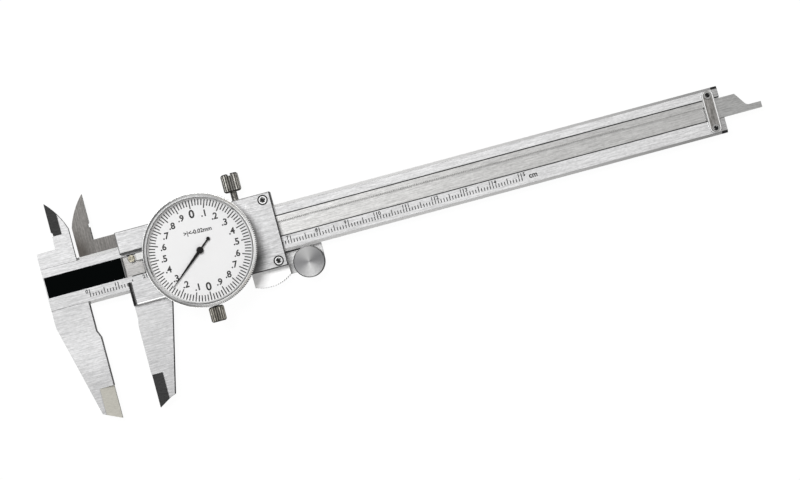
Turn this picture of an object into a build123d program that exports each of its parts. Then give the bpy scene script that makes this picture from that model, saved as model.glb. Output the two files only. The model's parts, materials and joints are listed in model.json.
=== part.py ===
from build123d import *
import math
import os

os.makedirs("parts", exist_ok=True)

# Dial caliper with a 150 mm range, standing open at the reading given here.
# X runs along the beam towards the depth rod's tip, Y towards the inside jaws and Z up
# through the dial. The origin is under the middle of the whole tool, on the plane that the
# slider's back rests on. All sizes are in millimetres.

# Opening and travel
reading = 13.27
measuring_range = 150.0

# Running clearances and fits
slide_gap = 0.05
jaw_gap = 0.1
pivot_gap = 0.03
glazing_gap = 0.02
screw_gap = 0.05
wheel_gap = 0.3

# How far a cut runs past the solid that it trims, and a piece's root into what carries it
cut_margin = 1.0
root_overlap = 1.0

# Beam
beam_width = 16.0
beam_thickness = 3.8
beam_before_face = 13.8
beam_after_face = 220.85
beam_chamfer = 0.9
back_chamfer = 0.3
lower_rail_width = 5.2
upper_rail_width = 3.71
rack_ledge = 0.31
groove_floor_thickness = 1.05
pocket_start = 13.6
groove_start = 20.0

# Outside jaws, measured from the measuring face, the beam's edge and the tip
outside_jaw_depth = 39.9
jaw_inset = 0.15
fixed_jaw_width = 13.8
fixed_shoulder = 4.9
fixed_tip_width = 6.0
fixed_tip_rise = 2.9
fixed_relief = 1.0
moving_jaw_width = 13.5
moving_heel_width = 5.9
moving_heel_rise = 3.2
moving_tip_width = 4.0
moving_tip_rise = 2.5
moving_relief = 0.45
relief_length = 9.4
relief_slope = 2.4
tip_bevel_length = 11.4
fixed_bevel_width = 5.0
moving_bevel_width = 4.0
tip_edge = 1.3

# Inside jaws, measured from the measuring edge and the beam's edge
inside_jaw_rise = 20.4
inside_block_rise = 4.6
inside_jaw_width = 6.15
inside_edge_offset = 7.4
inside_base_step = 0.2
inside_tip_width = 0.15
inside_notch = 0.5
inside_notch_rise = 9.0
inside_notch_length = 1.5
inside_arc_rise = 10.3
inside_arc_swell = 0.57
inside_bevel_width = 3.7
inside_edge = 0.5

# Slider
slider_length = 54.1
slider_half_width = 12.75
slider_start = 0.35
slider_back = 1.7
back_edge_chamfer = 0.4
front_plate_thickness = 1.8
front_plate_lower = 12.6
plate_chamfer = 0.25
gib_thickness = 0.65
gib_end_gap = 0.8
window_top = 5.07
window_bottom = 4.6
window_behind = 11.35
reading_bevel = 1.05
reading_edge_height = 0.4
thumb_rest_length = 12.9
thumb_rest_left = 17.4
thumb_rest_crown = 7.1
thumb_rest_low = 18.4
thumb_rest_right = 15.8
thumb_rest_bottom = 0.6
thumb_rest_thickness = 3.6
grip_notch = 0.33
grip_count = 16

# Thumb roller and its bracket
bracket_length = 12.2
bracket_drop = 15.9
bracket_thickness = 1.9
bracket_corner = 3.0
roller_reach = 6.95
roller_radius = 5.4
roller_thickness = 3.7
roller_dish = 0.35
roller_web = 0.8
roller_chamfer = 0.3
axle_radius = 1.0
axle_collar_radius = 1.8
axle_collar_height = 0.15

# Depth rod
rod_inset = 10.1
rod_width = 6.68
rod_thickness = 1.38
rod_foot_length = 8.0
rod_leg_length = 4.85
rod_leg_width = 2.05
rod_foot_fillet = 1.8
rod_floor_gap = 0.02
holder_inset = 1.5
holder_length = 7.5
holder_width = 4.0
holder_offset = 0.5
peg_spots = (0.25, 0.75)
peg_radius = 0.7
peg_length = 1.2
rivet_radius = 0.5

# Rack and gears
rack_pitch = 0.625
rack_width = 2.19
rack_thickness = 1.2
rack_pinion_teeth = 16
wheel_teeth = 60
centre_pinion_teeth = 12
backlash = 0.04
pressure_angle = 20.0
tooth_top = 0.85
tooth_root = 1.2
rack_spare_teeth = 4
wheel_thickness = 0.6
take_up_thickness = 0.5
wheel_spacing = 0.15
spring_radius = 2.4
spring_width = 0.35
spring_opening = 50.0

# Dial, bezel and case
dial_inset = 26.75
dial_y = -0.45
case_radius = 18.3
case_wall = 1.25
case_base = 1.0
case_height = 3.85
bezel_overhang = 0.9
bezel_rim = 1.5
bezel_height = 3.3
bezel_round = 0.7
bezel_skirt = 1.0
bezel_skirt_length = 2.4
bezel_knurls = 180
bezel_knurl_depth = 0.2
bezel_knurl_step = 0.05
knurl_band_height = 2.1
clamp_groove = 0.3
clamp_depth = 1.45
crystal_thickness = 0.8
crystal_seat = 0.4
dial_thickness = 0.4
spacer_wall = 0.35
spacer_height = 1.2
dial_turn = 1.5

# Pointer and arbors
pointer_margin = 2.15
pointer_tail = 5.35
pointer_root_width = 1.1
pointer_tip_width = 0.14
pointer_tail_width = 0.55
pointer_tail_radius = 0.62
pointer_thickness = 0.2
pointer_lift = 0.5
hub_radius = 1.16
hub_height = 0.8
hub_lift = 0.18
pivot_radius = 0.4
centre_shaft_radius = 0.5
gear_shaft_radius = 0.6
bridge_thickness = 0.6
bridge_dial_gap = 0.4
bridge_margin = 0.7
pillar_radius = 1.3
pillar_inset = 3.85
pillar_angles = (70.0, 175.0, 290.0)
case_screw_angles = (120.0, 240.0, 325.0)
bush_wall = 0.7

# Screws
plate_screw_head = 1.7
plate_screw_head_height = 0.85
plate_screw_shank = 0.95
plate_screw_inset = 2.7
plate_screw_behind = 13.35
plate_screw_y = 10.5
plate_screw_grip = 3.5
small_screw_head = 1.1
small_screw_head_height = 0.3
small_screw_shank = 0.5
small_screw_grip = 1.4
bridge_screw_grip = 0.8
rack_screw_x = 16.8
rack_screw_head = 1.25
rack_screw_head_height = 0.5
rack_screw_shank = 0.65
rack_screw_grip = 1.6
rack_screw_turn = 25.0
lock_screw_inset = 11.8
lock_knob_radius = 3.0
lock_knob_length = 6.2
lock_knob_gap = 3.15
lock_knob_ridges = 20
lock_shank_radius = 1.05
lock_slot_width = 1.3
lock_slot_depth = 0.75
clamp_knob_radius = 2.6
clamp_knob_length = 5.25
clamp_knob_ridges = 18
clamp_shank_radius = 1.0
clamp_boss_radius = 1.4
clamp_boss_length = 0.9
clamp_tip_radius = 0.45
knob_knurl_depth = 0.3
knob_chamfer = 0.5
gib_screw_radius = 0.9
gib_screw_before = 6.0
gib_screw_end = 24.1
gib_screw_inset = 0.3
gib_slot_width = 0.36
gib_slot_depth = 0.8
screw_chamfer_share = 0.2
recess_depth_share = 0.45
slot_width_share = 0.3
cross_length_share = 1.2
cross_width_share = 0.34
socket_share = 0.52

# End clamp plate
end_plate_x = 217.05
end_plate_width = 3.9
end_plate_height = 14.2
end_plate_corner = 1.45
end_plate_thickness = 1.0
end_plate_chamfer = 0.2
end_screw_y = 5.65
end_screw_head = 1.35
end_screw_head_height = 0.5
end_screw_shank = 0.7
end_screw_grip = 2.4

# Label in the groove's left end
label_start = 13.5
label_end = 13.3
label_depth = 0.4
label_thickness = 0.35

# Dust wiper that rides on the rack in the slider's window
wiper_start = 5.3
wiper_width = 2.3
wiper_y = 3.15
wiper_thickness = 0.4
wiper_post_length = 3.0

# Places along the slider, worked out from the sizes above
dial_x = slider_length - dial_inset
window_length = dial_x - window_behind
plate_screw_hidden = dial_x - plate_screw_behind
lock_screw_x = slider_length - lock_screw_inset
gib_screw_spots = (plate_screw_hidden - gib_screw_before, slider_length - gib_screw_end)
thumb_rest_start = slider_length - thumb_rest_length
thumb_rest_middle = slider_length - thumb_rest_crown
roller_x = slider_length + roller_reach
rod_start = slider_length - rod_inset

# Heights
beam_bottom = slider_back + slide_gap
beam_top = beam_bottom + beam_thickness
plate_bottom = beam_top + slide_gap
plate_top = plate_bottom + front_plate_thickness
jaw_bottom = beam_bottom + jaw_inset
jaw_top = beam_top - jaw_inset
mid_height = (beam_bottom + beam_top) / 2
inside_fixed_bottom = mid_height + jaw_gap / 2
inside_moving_top = mid_height - jaw_gap / 2
groove_floor = beam_bottom + groove_floor_thickness
rod_bottom = groove_floor + rod_floor_gap
rod_top = rod_bottom + rod_thickness
rack_bottom = rod_top + slide_gap
rack_top = rack_bottom + rack_thickness
case_floor = plate_top + case_base
case_top = plate_top + case_height
clamp_height = case_top - clamp_depth
bezel_bottom = case_top + slide_gap
bezel_top = bezel_bottom + bezel_height
skirt_bottom = bezel_bottom - bezel_skirt_length
dial_bottom = bezel_bottom + crystal_seat
dial_top = dial_bottom + dial_thickness
crystal_bottom = dial_top + spacer_height
crystal_top = crystal_bottom + crystal_thickness
bridge_top = dial_bottom - bridge_dial_gap
bridge_bottom = bridge_top - bridge_thickness
wheel_bottom = case_floor + wheel_gap
wheel_top = wheel_bottom + wheel_thickness
take_up_bottom = wheel_top + wheel_spacing
take_up_top = take_up_bottom + take_up_thickness
hub_bottom = dial_top + hub_lift
pointer_bottom = dial_top + pointer_lift

# Widths from the beam's mid line
beam_half = beam_width / 2
groove_low = -beam_half + lower_rail_width
rack_seat = beam_half - upper_rail_width
groove_high = rack_seat - rack_ledge
jaw_tip = -beam_half - outside_jaw_depth
inside_tip = beam_half + inside_jaw_rise
rail_low = -beam_half - slide_gap
gib_low = beam_half + slide_gap
rail_high = gib_low + gib_thickness
rack_tips = rack_seat - rack_width
rod_low = groove_low + slide_gap
roller_y = -beam_half - roller_radius

# Dial and bezel radii
case_bore = case_radius - case_wall
pillar_circle = case_bore - pillar_inset
bezel_radius = case_radius + bezel_overhang
skirt_radius = case_bore - slide_gap
skirt_bore = skirt_radius - bezel_skirt
bezel_bore = bezel_radius - bezel_rim
crystal_radius = bezel_bore + crystal_seat
dial_radius = bezel_bore - slide_gap
pointer_length = dial_radius - pointer_margin

# Gear sizes, all from the rack's pitch
module = rack_pitch / math.pi
tooth_tip = module * tooth_top
tooth_depth = module * (tooth_top + tooth_root)
rack_pinion_radius = module * rack_pinion_teeth / 2
centre_distance = module * (wheel_teeth + centre_pinion_teeth) / 2
gear_y = rack_tips + tooth_tip - rack_pinion_radius
gear_x = dial_x + math.sqrt(centre_distance**2 - (gear_y - dial_y) ** 2)
mesh_angle = math.degrees(math.atan2(dial_y - gear_y, dial_x - gear_x))
turn_travel = rack_pitch * rack_pinion_teeth * centre_pinion_teeth / wheel_teeth
pointer_angle = 90.0 - dial_turn - 360.0 * reading / turn_travel

# The tool stands with the middle of its outline over the origin
face_x = (beam_before_face - beam_after_face - reading) / 2
slide_x = face_x + reading
mid_y = -(inside_tip + jaw_tip) / 2


def beam_plane(height):
    """Level plane with its origin at the fixed measuring face, on the beam's mid line."""
    return Plane((face_x, mid_y, height))


def slider_plane(height):
    """Level plane with its origin at the moving measuring face, on the beam's mid line."""
    return Plane((slide_x, mid_y, height))


def dial_plane(height):
    """Level plane centred on the dial."""
    return Plane((slide_x + dial_x, mid_y + dial_y, height))


def gear_plane(height):
    """Level plane centred on the arbor that carries the rack pinion."""
    return Plane((slide_x + gear_x, mid_y + gear_y, height))


def section_plane(x, y):
    """Upright plane facing -Y: its sketches show X to the right and Z up."""
    return Plane((x, mid_y + y, 0), x_dir=(1, 0, 0), z_dir=(0, -1, 0))


def outward_plane(x, y, height):
    """Upright plane facing +Y, for what is screwed in from the inside jaws' side."""
    return Plane((x, mid_y + y, height), x_dir=(-1, 0, 0), z_dir=(0, 1, 0))


def strip(left, right, low, high):
    """A rectangle given by its four sides."""
    with BuildSketch() as outline:
        with Locations(((left + right) / 2, (low + high) / 2)):
            Rectangle(right - left, high - low)
    return outline.sketch


def around(radius, angles):
    """Points on a circle about the origin, at the angles given in degrees."""
    turns = [math.radians(angle) for angle in angles]
    return [(radius * math.cos(turn), radius * math.sin(turn)) for turn in turns]


def closed_outline(*points):
    """A straight-sided outline through the points given."""
    with BuildSketch() as outline:
        with BuildLine():
            Polyline(*points, close=True)
        make_face()
    return outline.sketch


def turned(*profile):
    """A solid turned about Z from a closed profile of (radius, height) points."""
    with BuildPart() as made:
        with BuildSketch(Plane.XZ):
            add(closed_outline(*profile))
        revolve(axis=Axis.Z)
    return made.part


def measuring_edge(relief):
    """Points up an outside jaw's measuring edge, from its tip to the beam.

    Above the flat face the edge steps back by relief, which is negative for a body at -X."""
    flat_top = -beam_half - relief_length - relief_slope
    return [
        (0, jaw_tip),
        (0, flat_top),
        (relief, flat_top + relief_slope),
        (relief, -beam_half + beam_chamfer),
    ]


def inside_jaw(base_back, base_bottom):
    """Outline of an inside jaw, with its measuring edge on the Y axis and its body at +X."""
    block_top = beam_half + inside_block_rise
    notch_bottom = beam_half + inside_notch_rise
    notch_top = notch_bottom + inside_notch_length
    arc_start = beam_half + inside_arc_rise
    swell = inside_arc_swell
    with BuildSketch() as outline:
        with BuildLine():
            Polyline(
                (inside_jaw_width, arc_start),
                (inside_jaw_width, base_bottom),
                (base_back, base_bottom),
                (base_back, block_top),
                (inside_base_step, block_top),
                (inside_base_step, notch_bottom),
                (inside_notch, notch_bottom),
                (inside_notch, notch_top - inside_notch),
                (0, notch_top),
                (0, inside_tip),
                (inside_tip_width, inside_tip),
            )
            ThreePointArc(
                (inside_tip_width, inside_tip),
                (inside_jaw_width * swell, arc_start + (inside_tip - arc_start) * swell),
                (inside_jaw_width, arc_start),
            )
        make_face()
    return outline.sketch


def bevel(width, flat, edge, over):
    """Section of what is ground off a blade: nothing at width, down to edge at the face."""
    beyond = math.copysign(cut_margin, -width)
    return closed_outline((width, flat), (0, edge), (beyond, edge), (beyond, over), (width, over))


def gear_outline(teeth, first_tooth, straight=False):
    """Involute gear outline with one tooth centred on the angle first_tooth, in degrees.

    The flanks of a large gear may be straight from root to tip."""
    pitch_radius = module * teeth / 2
    base_radius = pitch_radius * math.cos(math.radians(pressure_angle))
    tip = pitch_radius + tooth_tip
    half_at_pitch = (rack_pitch - backlash) / (4 * pitch_radius)

    def half_width(radius):
        """Half a tooth's angle at a radius, from the involute of the base circle."""
        wide = math.acos(min(1.0, base_radius / radius))
        pitch = math.radians(pressure_angle)
        return half_at_pitch + math.tan(pitch) - pitch - math.tan(wide) + wide

    points = []
    for tooth in range(teeth):
        centre = math.radians(first_tooth) + 2 * math.pi * tooth / teeth
        for side in (-1, 1):
            levels = [tip - tooth_depth, tip] if straight else [tip - tooth_depth, pitch_radius, tip]
            for radius in levels[::-side]:
                angle = centre + side * half_width(radius)
                points.append((radius * math.cos(angle), radius * math.sin(angle)))
    return closed_outline(*points)


def knurled(radius, depth, count):
    """A circle whose edge is cut into sharp straight ridges."""
    points = []
    for corner in range(2 * count):
        reach = radius - depth * (corner % 2)
        angle = math.pi * corner / count
        points.append((reach * math.cos(angle), reach * math.sin(angle)))
    return closed_outline(*points)


def knob(radius, length, ridges):
    """A straight-knurled thumb knob along Z, with both ends chamfered."""
    with BuildPart() as made:
        with BuildSketch():
            add(knurled(radius, knob_knurl_depth, ridges))
        extrude(amount=length)
        with BuildSketch(Plane.XZ):
            add(
                closed_outline(
                    (0, 0),
                    (radius - knob_chamfer, 0),
                    (radius, knob_chamfer),
                    (radius, length - knob_chamfer),
                    (radius - knob_chamfer, length),
                    (0, length),
                )
            )
        revolve(axis=Axis.Z, mode=Mode.INTERSECT)
    return made.part


def screw(head_radius, head_height, shank_radius, grip, recess="slot", finished=True):
    """A screw along Z: the underside of its head is at height 0, and its shank is below.

    The head of a finished one is chamfered."""
    with BuildPart() as made:
        Cylinder(head_radius, head_height, align=(Align.CENTER, Align.CENTER, Align.MIN))
        if finished:
            chamfer(made.edges().group_by(Axis.Z)[-1], head_height * screw_chamfer_share)
        Cylinder(shank_radius, grip, align=(Align.CENTER, Align.CENTER, Align.MAX))
        depth = head_height * recess_depth_share
        with BuildSketch(Plane.XY.offset(head_height - depth)):
            if recess == "slot":
                Rectangle(2 * head_radius + cut_margin, head_radius * slot_width_share)
            elif recess == "cross":
                Rectangle(head_radius * cross_length_share, head_radius * cross_width_share)
                Rectangle(head_radius * cross_width_share, head_radius * cross_length_share)
            else:
                RegularPolygon(head_radius * socket_share, 6)
        extrude(amount=depth, mode=Mode.SUBTRACT)
    return made.part


# Beam with the fixed jaws, ground from one bar. The groove in its face carries the depth
# rod, and a shallower step above the groove seats the rack.
fixed_outside_jaw = closed_outline(
    *measuring_edge(-fixed_relief),
    (-fixed_jaw_width, -beam_half + beam_chamfer),
    (-fixed_jaw_width, -beam_half - fixed_shoulder),
    (-fixed_tip_width, jaw_tip + fixed_tip_rise),
)
fixed_inside_jaw = inside_jaw(inside_edge_offset - beam_before_face, beam_half - beam_chamfer)
tip_bevel_y = jaw_tip + tip_bevel_length
inside_bevel_length = inside_jaw_rise - inside_notch_rise
end_screw_points = [(end_plate_x, side * end_screw_y) for side in (-1, 1)]

with BuildPart() as main_beam:
    with BuildSketch(beam_plane(beam_bottom)):
        add(strip(-beam_before_face, beam_after_face, -beam_half, beam_half))
    extrude(amount=beam_thickness)
    long_edges = main_beam.edges().filter_by(Axis.X)
    chamfer(long_edges.group_by(Axis.Z)[-1], beam_chamfer)
    chamfer(main_beam.edges().filter_by(Axis.X).group_by(Axis.Z)[0], back_chamfer)
    # Outside jaw with its knife edge, and the inside jaw in the front half of the thickness
    with BuildSketch(beam_plane(jaw_bottom)):
        add(fixed_outside_jaw)
    extrude(amount=jaw_top - jaw_bottom)
    with BuildSketch(beam_plane(inside_fixed_bottom)):
        with Locations((-inside_edge_offset, 0)):
            add(fixed_inside_jaw)
    extrude(amount=jaw_top - inside_fixed_bottom)
    with BuildSketch(section_plane(face_x, tip_bevel_y)):
        add(bevel(-fixed_bevel_width, jaw_top, mid_height + tip_edge / 2, plate_top))
        add(bevel(-fixed_bevel_width, jaw_bottom, mid_height - tip_edge / 2, 0))
    extrude(amount=tip_bevel_length + cut_margin, mode=Mode.SUBTRACT)
    with BuildSketch(section_plane(face_x - inside_edge_offset, inside_tip + cut_margin)):
        add(bevel(inside_bevel_width, jaw_top, inside_fixed_bottom + inside_edge, plate_top))
    extrude(amount=inside_bevel_length + cut_margin, mode=Mode.SUBTRACT)
    # Groove, open at the right end, with the rack's step, and the shallow bed of the label
    with BuildSketch(beam_plane(groove_floor)):
        add(strip(groove_start, beam_after_face + cut_margin, groove_low, groove_high))
    extrude(amount=beam_thickness, mode=Mode.SUBTRACT)
    with BuildSketch(beam_plane(rack_bottom)):
        add(strip(pocket_start, beam_after_face + cut_margin, groove_low, rack_seat))
    extrude(amount=beam_thickness, mode=Mode.SUBTRACT)
    with BuildSketch(beam_plane(beam_top - label_depth)):
        add(strip(-label_start, label_end, groove_low, rack_seat))
    extrude(amount=label_depth, mode=Mode.SUBTRACT)
    # Screw holes for the end plate and the rack
    with BuildSketch(beam_plane(beam_top - end_screw_grip)):
        with Locations(*end_screw_points):
            Circle(end_screw_shank + screw_gap)
    extrude(amount=end_screw_grip, mode=Mode.SUBTRACT)
    with BuildSketch(beam_plane(rack_bottom - rack_screw_grip)):
        with Locations((rack_screw_x, rack_seat - rack_screw_head - slide_gap)):
            Circle(rack_screw_shank + screw_gap)
    extrude(amount=rack_screw_grip, mode=Mode.SUBTRACT)

main_beam.part.label = "main_beam"
export_step(main_beam.part, "parts/main_beam.step")

# Plain black label in its bed at the groove's left end
with BuildPart() as groove_label:
    with BuildSketch(beam_plane(beam_top - label_depth)):
        add(
            strip(
                -label_start + screw_gap,
                label_end - screw_gap,
                groove_low + screw_gap,
                rack_seat - screw_gap,
            )
        )
    extrude(amount=label_thickness)

groove_label.part.label = "groove_label"
export_step(groove_label.part, "parts/groove_label.step")

# Rack: a strip against the groove's upper wall. Its teeth point down the page and reach as
# far as the pinion travels. A round eye at the left end takes the brass screw.
rack_screw_y = rack_seat - rack_screw_head - slide_gap
rack_eye_radius = rack_screw_head + slide_gap
rack_right = end_plate_x + end_plate_width / 2
pinion_x = reading + gear_x
teeth_before = math.ceil(reading / rack_pitch) + rack_spare_teeth
teeth_after = math.ceil((measuring_range - reading) / rack_pitch) + rack_spare_teeth
flank_run = math.tan(math.radians(pressure_angle))
half_at_pitch_line = (rack_pitch - backlash) / 4
half_at_tip = half_at_pitch_line - tooth_tip * flank_run
half_at_root = half_at_pitch_line + (tooth_depth - tooth_tip) * flank_run
rack_root = rack_tips + tooth_depth
rack_points = [(rack_right, rack_seat), (rack_screw_x, rack_seat), (rack_screw_x, rack_tips)]
first_centre = pinion_x - (teeth_before + 0.5) * rack_pitch
rack_points.append((first_centre - rack_pitch / 2, rack_tips))
for tooth in range(teeth_before + teeth_after + 2):
    centre = first_centre + tooth * rack_pitch
    rack_points.append((centre - half_at_root, rack_root))
    rack_points.append((centre - half_at_tip, rack_tips))
    rack_points.append((centre + half_at_tip, rack_tips))
    rack_points.append((centre + half_at_root, rack_root))
last_centre = first_centre + (teeth_before + teeth_after + 1) * rack_pitch
rack_points.append((last_centre + rack_pitch / 2, rack_root))
rack_points.append((last_centre + rack_pitch / 2, rack_tips))
rack_points.append((rack_right, rack_tips))

with BuildPart() as rack:
    with BuildSketch(beam_plane(rack_bottom)):
        add(closed_outline(*rack_points))
        with Locations((rack_screw_x, rack_screw_y)):
            Circle(rack_eye_radius)
            Circle(rack_screw_shank + screw_gap, mode=Mode.SUBTRACT)
    extrude(amount=rack_thickness)
    with BuildSketch(beam_plane(rack_top - rack_screw_head_height)):
        with Locations((rack_screw_x, rack_screw_y)):
            Circle(rack_screw_head + slide_gap / 2)
    extrude(amount=rack_screw_head_height, mode=Mode.SUBTRACT)

rack.part.label = "rack"
export_step(rack.part, "parts/rack.step")

# Brass screw, sunk in the rack's eye
brass_screw = screw(
    rack_screw_head,
    rack_screw_head_height,
    rack_screw_shank,
    rack_thickness - rack_screw_head_height + rack_screw_grip - slide_gap,
)

with BuildPart() as rack_screw:
    with Locations(beam_plane(rack_top - rack_screw_head_height)):
        with Locations((rack_screw_x, rack_screw_y)):
            add(brass_screw, rotation=(0, 0, rack_screw_turn))

rack_screw.part.label = "rack_screw"
export_step(rack_screw.part, "parts/rack_screw.step")

# Plate across the beam's end, which holds the rack down and stops the slider
with BuildPart() as end_clamp_plate:
    with BuildSketch(beam_plane(beam_top)):
        with Locations((end_plate_x, 0)):
            RectangleRounded(end_plate_width, end_plate_height, end_plate_corner)
    extrude(amount=end_plate_thickness)
    chamfer(end_clamp_plate.faces().sort_by(Axis.Z)[-1].edges(), end_plate_chamfer)
    with BuildSketch(beam_plane(beam_top)):
        with Locations(*end_screw_points):
            Circle(end_screw_shank + screw_gap)
    extrude(amount=end_plate_thickness, mode=Mode.SUBTRACT)

end_clamp_plate.part.label = "end_clamp_plate"
export_step(end_clamp_plate.part, "parts/end_clamp_plate.step")

end_screw = screw(
    end_screw_head,
    end_screw_head_height,
    end_screw_shank,
    end_plate_thickness + end_screw_grip - slide_gap,
    recess="socket",
)

with BuildPart() as end_clamp_screws:
    with Locations(beam_plane(beam_top + end_plate_thickness)):
        with Locations(*end_screw_points):
            add(end_screw)

end_clamp_screws.part.label = "end_clamp_screws"
export_step(end_clamp_screws.part, "parts/end_clamp_screws.step")

# Slider frame with the moving jaws, the thumb rest and the roller's bracket, cast in one
# and ground. Its two rails run beside the beam, and its back closes the channel.
moving_outside_jaw = closed_outline(
    *measuring_edge(moving_relief)[:3],
    (moving_relief, -slider_half_width + root_overlap),
    (moving_jaw_width, -slider_half_width + root_overlap),
    (moving_jaw_width, -slider_half_width),
    (moving_heel_width, jaw_tip + moving_heel_rise),
    (moving_tip_width, jaw_tip + moving_tip_rise),
)
moving_inside_jaw = mirror(
    inside_jaw(-inside_edge_offset - slider_start - gib_end_gap / 2, beam_half + jaw_gap),
    about=Plane.YZ,
)

with BuildSketch() as thumb_rest:
    with BuildLine():
        Polyline(
            (slider_length, -thumb_rest_right),
            (slider_length, -slider_half_width + root_overlap),
            (thumb_rest_start, -slider_half_width + root_overlap),
            (thumb_rest_start, -thumb_rest_left),
        )
        grip = ThreePointArc(
            (thumb_rest_start, -thumb_rest_left),
            (thumb_rest_middle, -thumb_rest_low),
            (slider_length, -thumb_rest_right),
        )
    make_face()
    with Locations(*[grip @ ((notch + 0.5) / grip_count) for notch in range(grip_count)]):
        RegularPolygon(grip_notch, 6, mode=Mode.SUBTRACT)

bracket_end = slider_length + bracket_length
bracket_outline = closed_outline(
    (slider_length - root_overlap, rail_low),
    (bracket_end, rail_low),
    (bracket_end, -bracket_drop + bracket_corner),
    (bracket_end - bracket_corner, -bracket_drop),
    (slider_length - root_overlap, -bracket_drop),
)

with BuildPart() as slider_frame:
    with BuildSketch(slider_plane(0)):
        add(strip(slider_start, slider_length, -slider_half_width, slider_half_width))
    extrude(amount=slider_back)
    chamfer(slider_frame.edges().group_by(Axis.Z)[0], back_edge_chamfer)
    with BuildSketch(slider_plane(slider_back - back_edge_chamfer)):
        add(strip(slider_start, slider_length, -slider_half_width, rail_low))
        add(strip(slider_start, slider_length, rail_high, slider_half_width))
    extrude(amount=plate_bottom - slider_back + back_edge_chamfer)
    with BuildSketch(slider_plane(jaw_bottom)):
        add(moving_outside_jaw)
    extrude(amount=jaw_top - jaw_bottom)
    with BuildSketch(slider_plane(jaw_bottom)):
        with Locations((-inside_edge_offset, 0)):
            add(moving_inside_jaw)
    extrude(amount=inside_moving_top - jaw_bottom)
    with BuildSketch(section_plane(slide_x, tip_bevel_y)):
        add(bevel(moving_bevel_width, jaw_top, mid_height + tip_edge / 2, plate_top))
        add(bevel(moving_bevel_width, jaw_bottom, mid_height - tip_edge / 2, 0))
    extrude(amount=tip_bevel_length + cut_margin, mode=Mode.SUBTRACT)
    with BuildSketch(section_plane(slide_x - inside_edge_offset, inside_tip + cut_margin)):
        add(bevel(-inside_bevel_width, jaw_bottom, inside_moving_top - inside_edge, 0))
    extrude(amount=inside_bevel_length + cut_margin, mode=Mode.SUBTRACT)
    with BuildSketch(slider_plane(thumb_rest_bottom)):
        add(thumb_rest.sketch)
    extrude(amount=thumb_rest_thickness)
    with BuildSketch(slider_plane(0)):
        add(bracket_outline)
    extrude(amount=bracket_thickness)
    # Axle hole, front plate screws, and the gib's screws and lock screw in the upper rail
    with BuildSketch(slider_plane(0)):
        with Locations((roller_x, roller_y)):
            Circle(axle_radius)
    extrude(amount=bracket_thickness, mode=Mode.SUBTRACT)
    with BuildSketch(slider_plane(plate_bottom - plate_screw_grip)):
        with Locations(
            (slider_length - plate_screw_inset, plate_screw_y),
            (slider_length - plate_screw_inset, -plate_screw_y),
            (plate_screw_hidden, plate_screw_y),
            (plate_screw_hidden, -plate_screw_y),
        ):
            Circle(plate_screw_shank)
    extrude(amount=plate_screw_grip, mode=Mode.SUBTRACT)
    with BuildSketch(outward_plane(slide_x + lock_screw_x, rail_high, mid_height)):
        Circle(lock_shank_radius + screw_gap)
        with Locations(*[(lock_screw_x - spot, 0) for spot in gib_screw_spots]):
            Circle(gib_screw_radius + screw_gap)
    extrude(amount=slider_half_width - rail_high, mode=Mode.SUBTRACT)

slider_frame.part.label = "slider_frame"
export_step(slider_frame.part, "parts/slider_frame.step")

# Gib: the bronze strip that the upper rail's screws press against the beam
with BuildPart() as gib_strip:
    with BuildSketch(slider_plane(slider_back + slide_gap)):
        add(
            strip(
                slider_start + gib_end_gap,
                slider_length - gib_end_gap,
                gib_low,
                rail_high - slide_gap,
            )
        )
    extrude(amount=beam_thickness)

gib_strip.part.label = "gib_strip"
export_step(gib_strip.part, "parts/gib_strip.step")

gib_screw_length = slider_half_width - rail_high - gib_screw_inset
gib_slot_floor = rail_high + gib_screw_length - gib_slot_depth

with BuildPart() as gib_screws:
    with BuildSketch(outward_plane(slide_x, rail_high, mid_height)):
        with Locations(*[(-spot, 0) for spot in gib_screw_spots]):
            Circle(gib_screw_radius)
    extrude(amount=gib_screw_length)
    with BuildSketch(outward_plane(slide_x, gib_slot_floor, mid_height)):
        with Locations(*[(-spot, 0) for spot in gib_screw_spots]):
            Rectangle(2 * gib_screw_radius + cut_margin, gib_slot_width)
    extrude(amount=gib_slot_depth, mode=Mode.SUBTRACT)

gib_screws.part.label = "gib_screws"
export_step(gib_screws.part, "parts/gib_screws.step")

# Front plate: closes the channel, opens a window on the scale and the rack's end, and its
# left edge below the window is bevelled for reading
plate_screw_points = [
    (spot, side * plate_screw_y)
    for spot in (slider_length - plate_screw_inset, plate_screw_hidden)
    for side in (-1, 1)
]
case_screw_points = around(pillar_circle, case_screw_angles)
holder_left = rod_start + holder_inset
peg_y = rod_low + holder_offset + holder_width / 2
peg_points = [(holder_left + holder_length * share, peg_y) for share in peg_spots]
gear_bush_radius = gear_shaft_radius + pivot_gap + bush_wall

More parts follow.
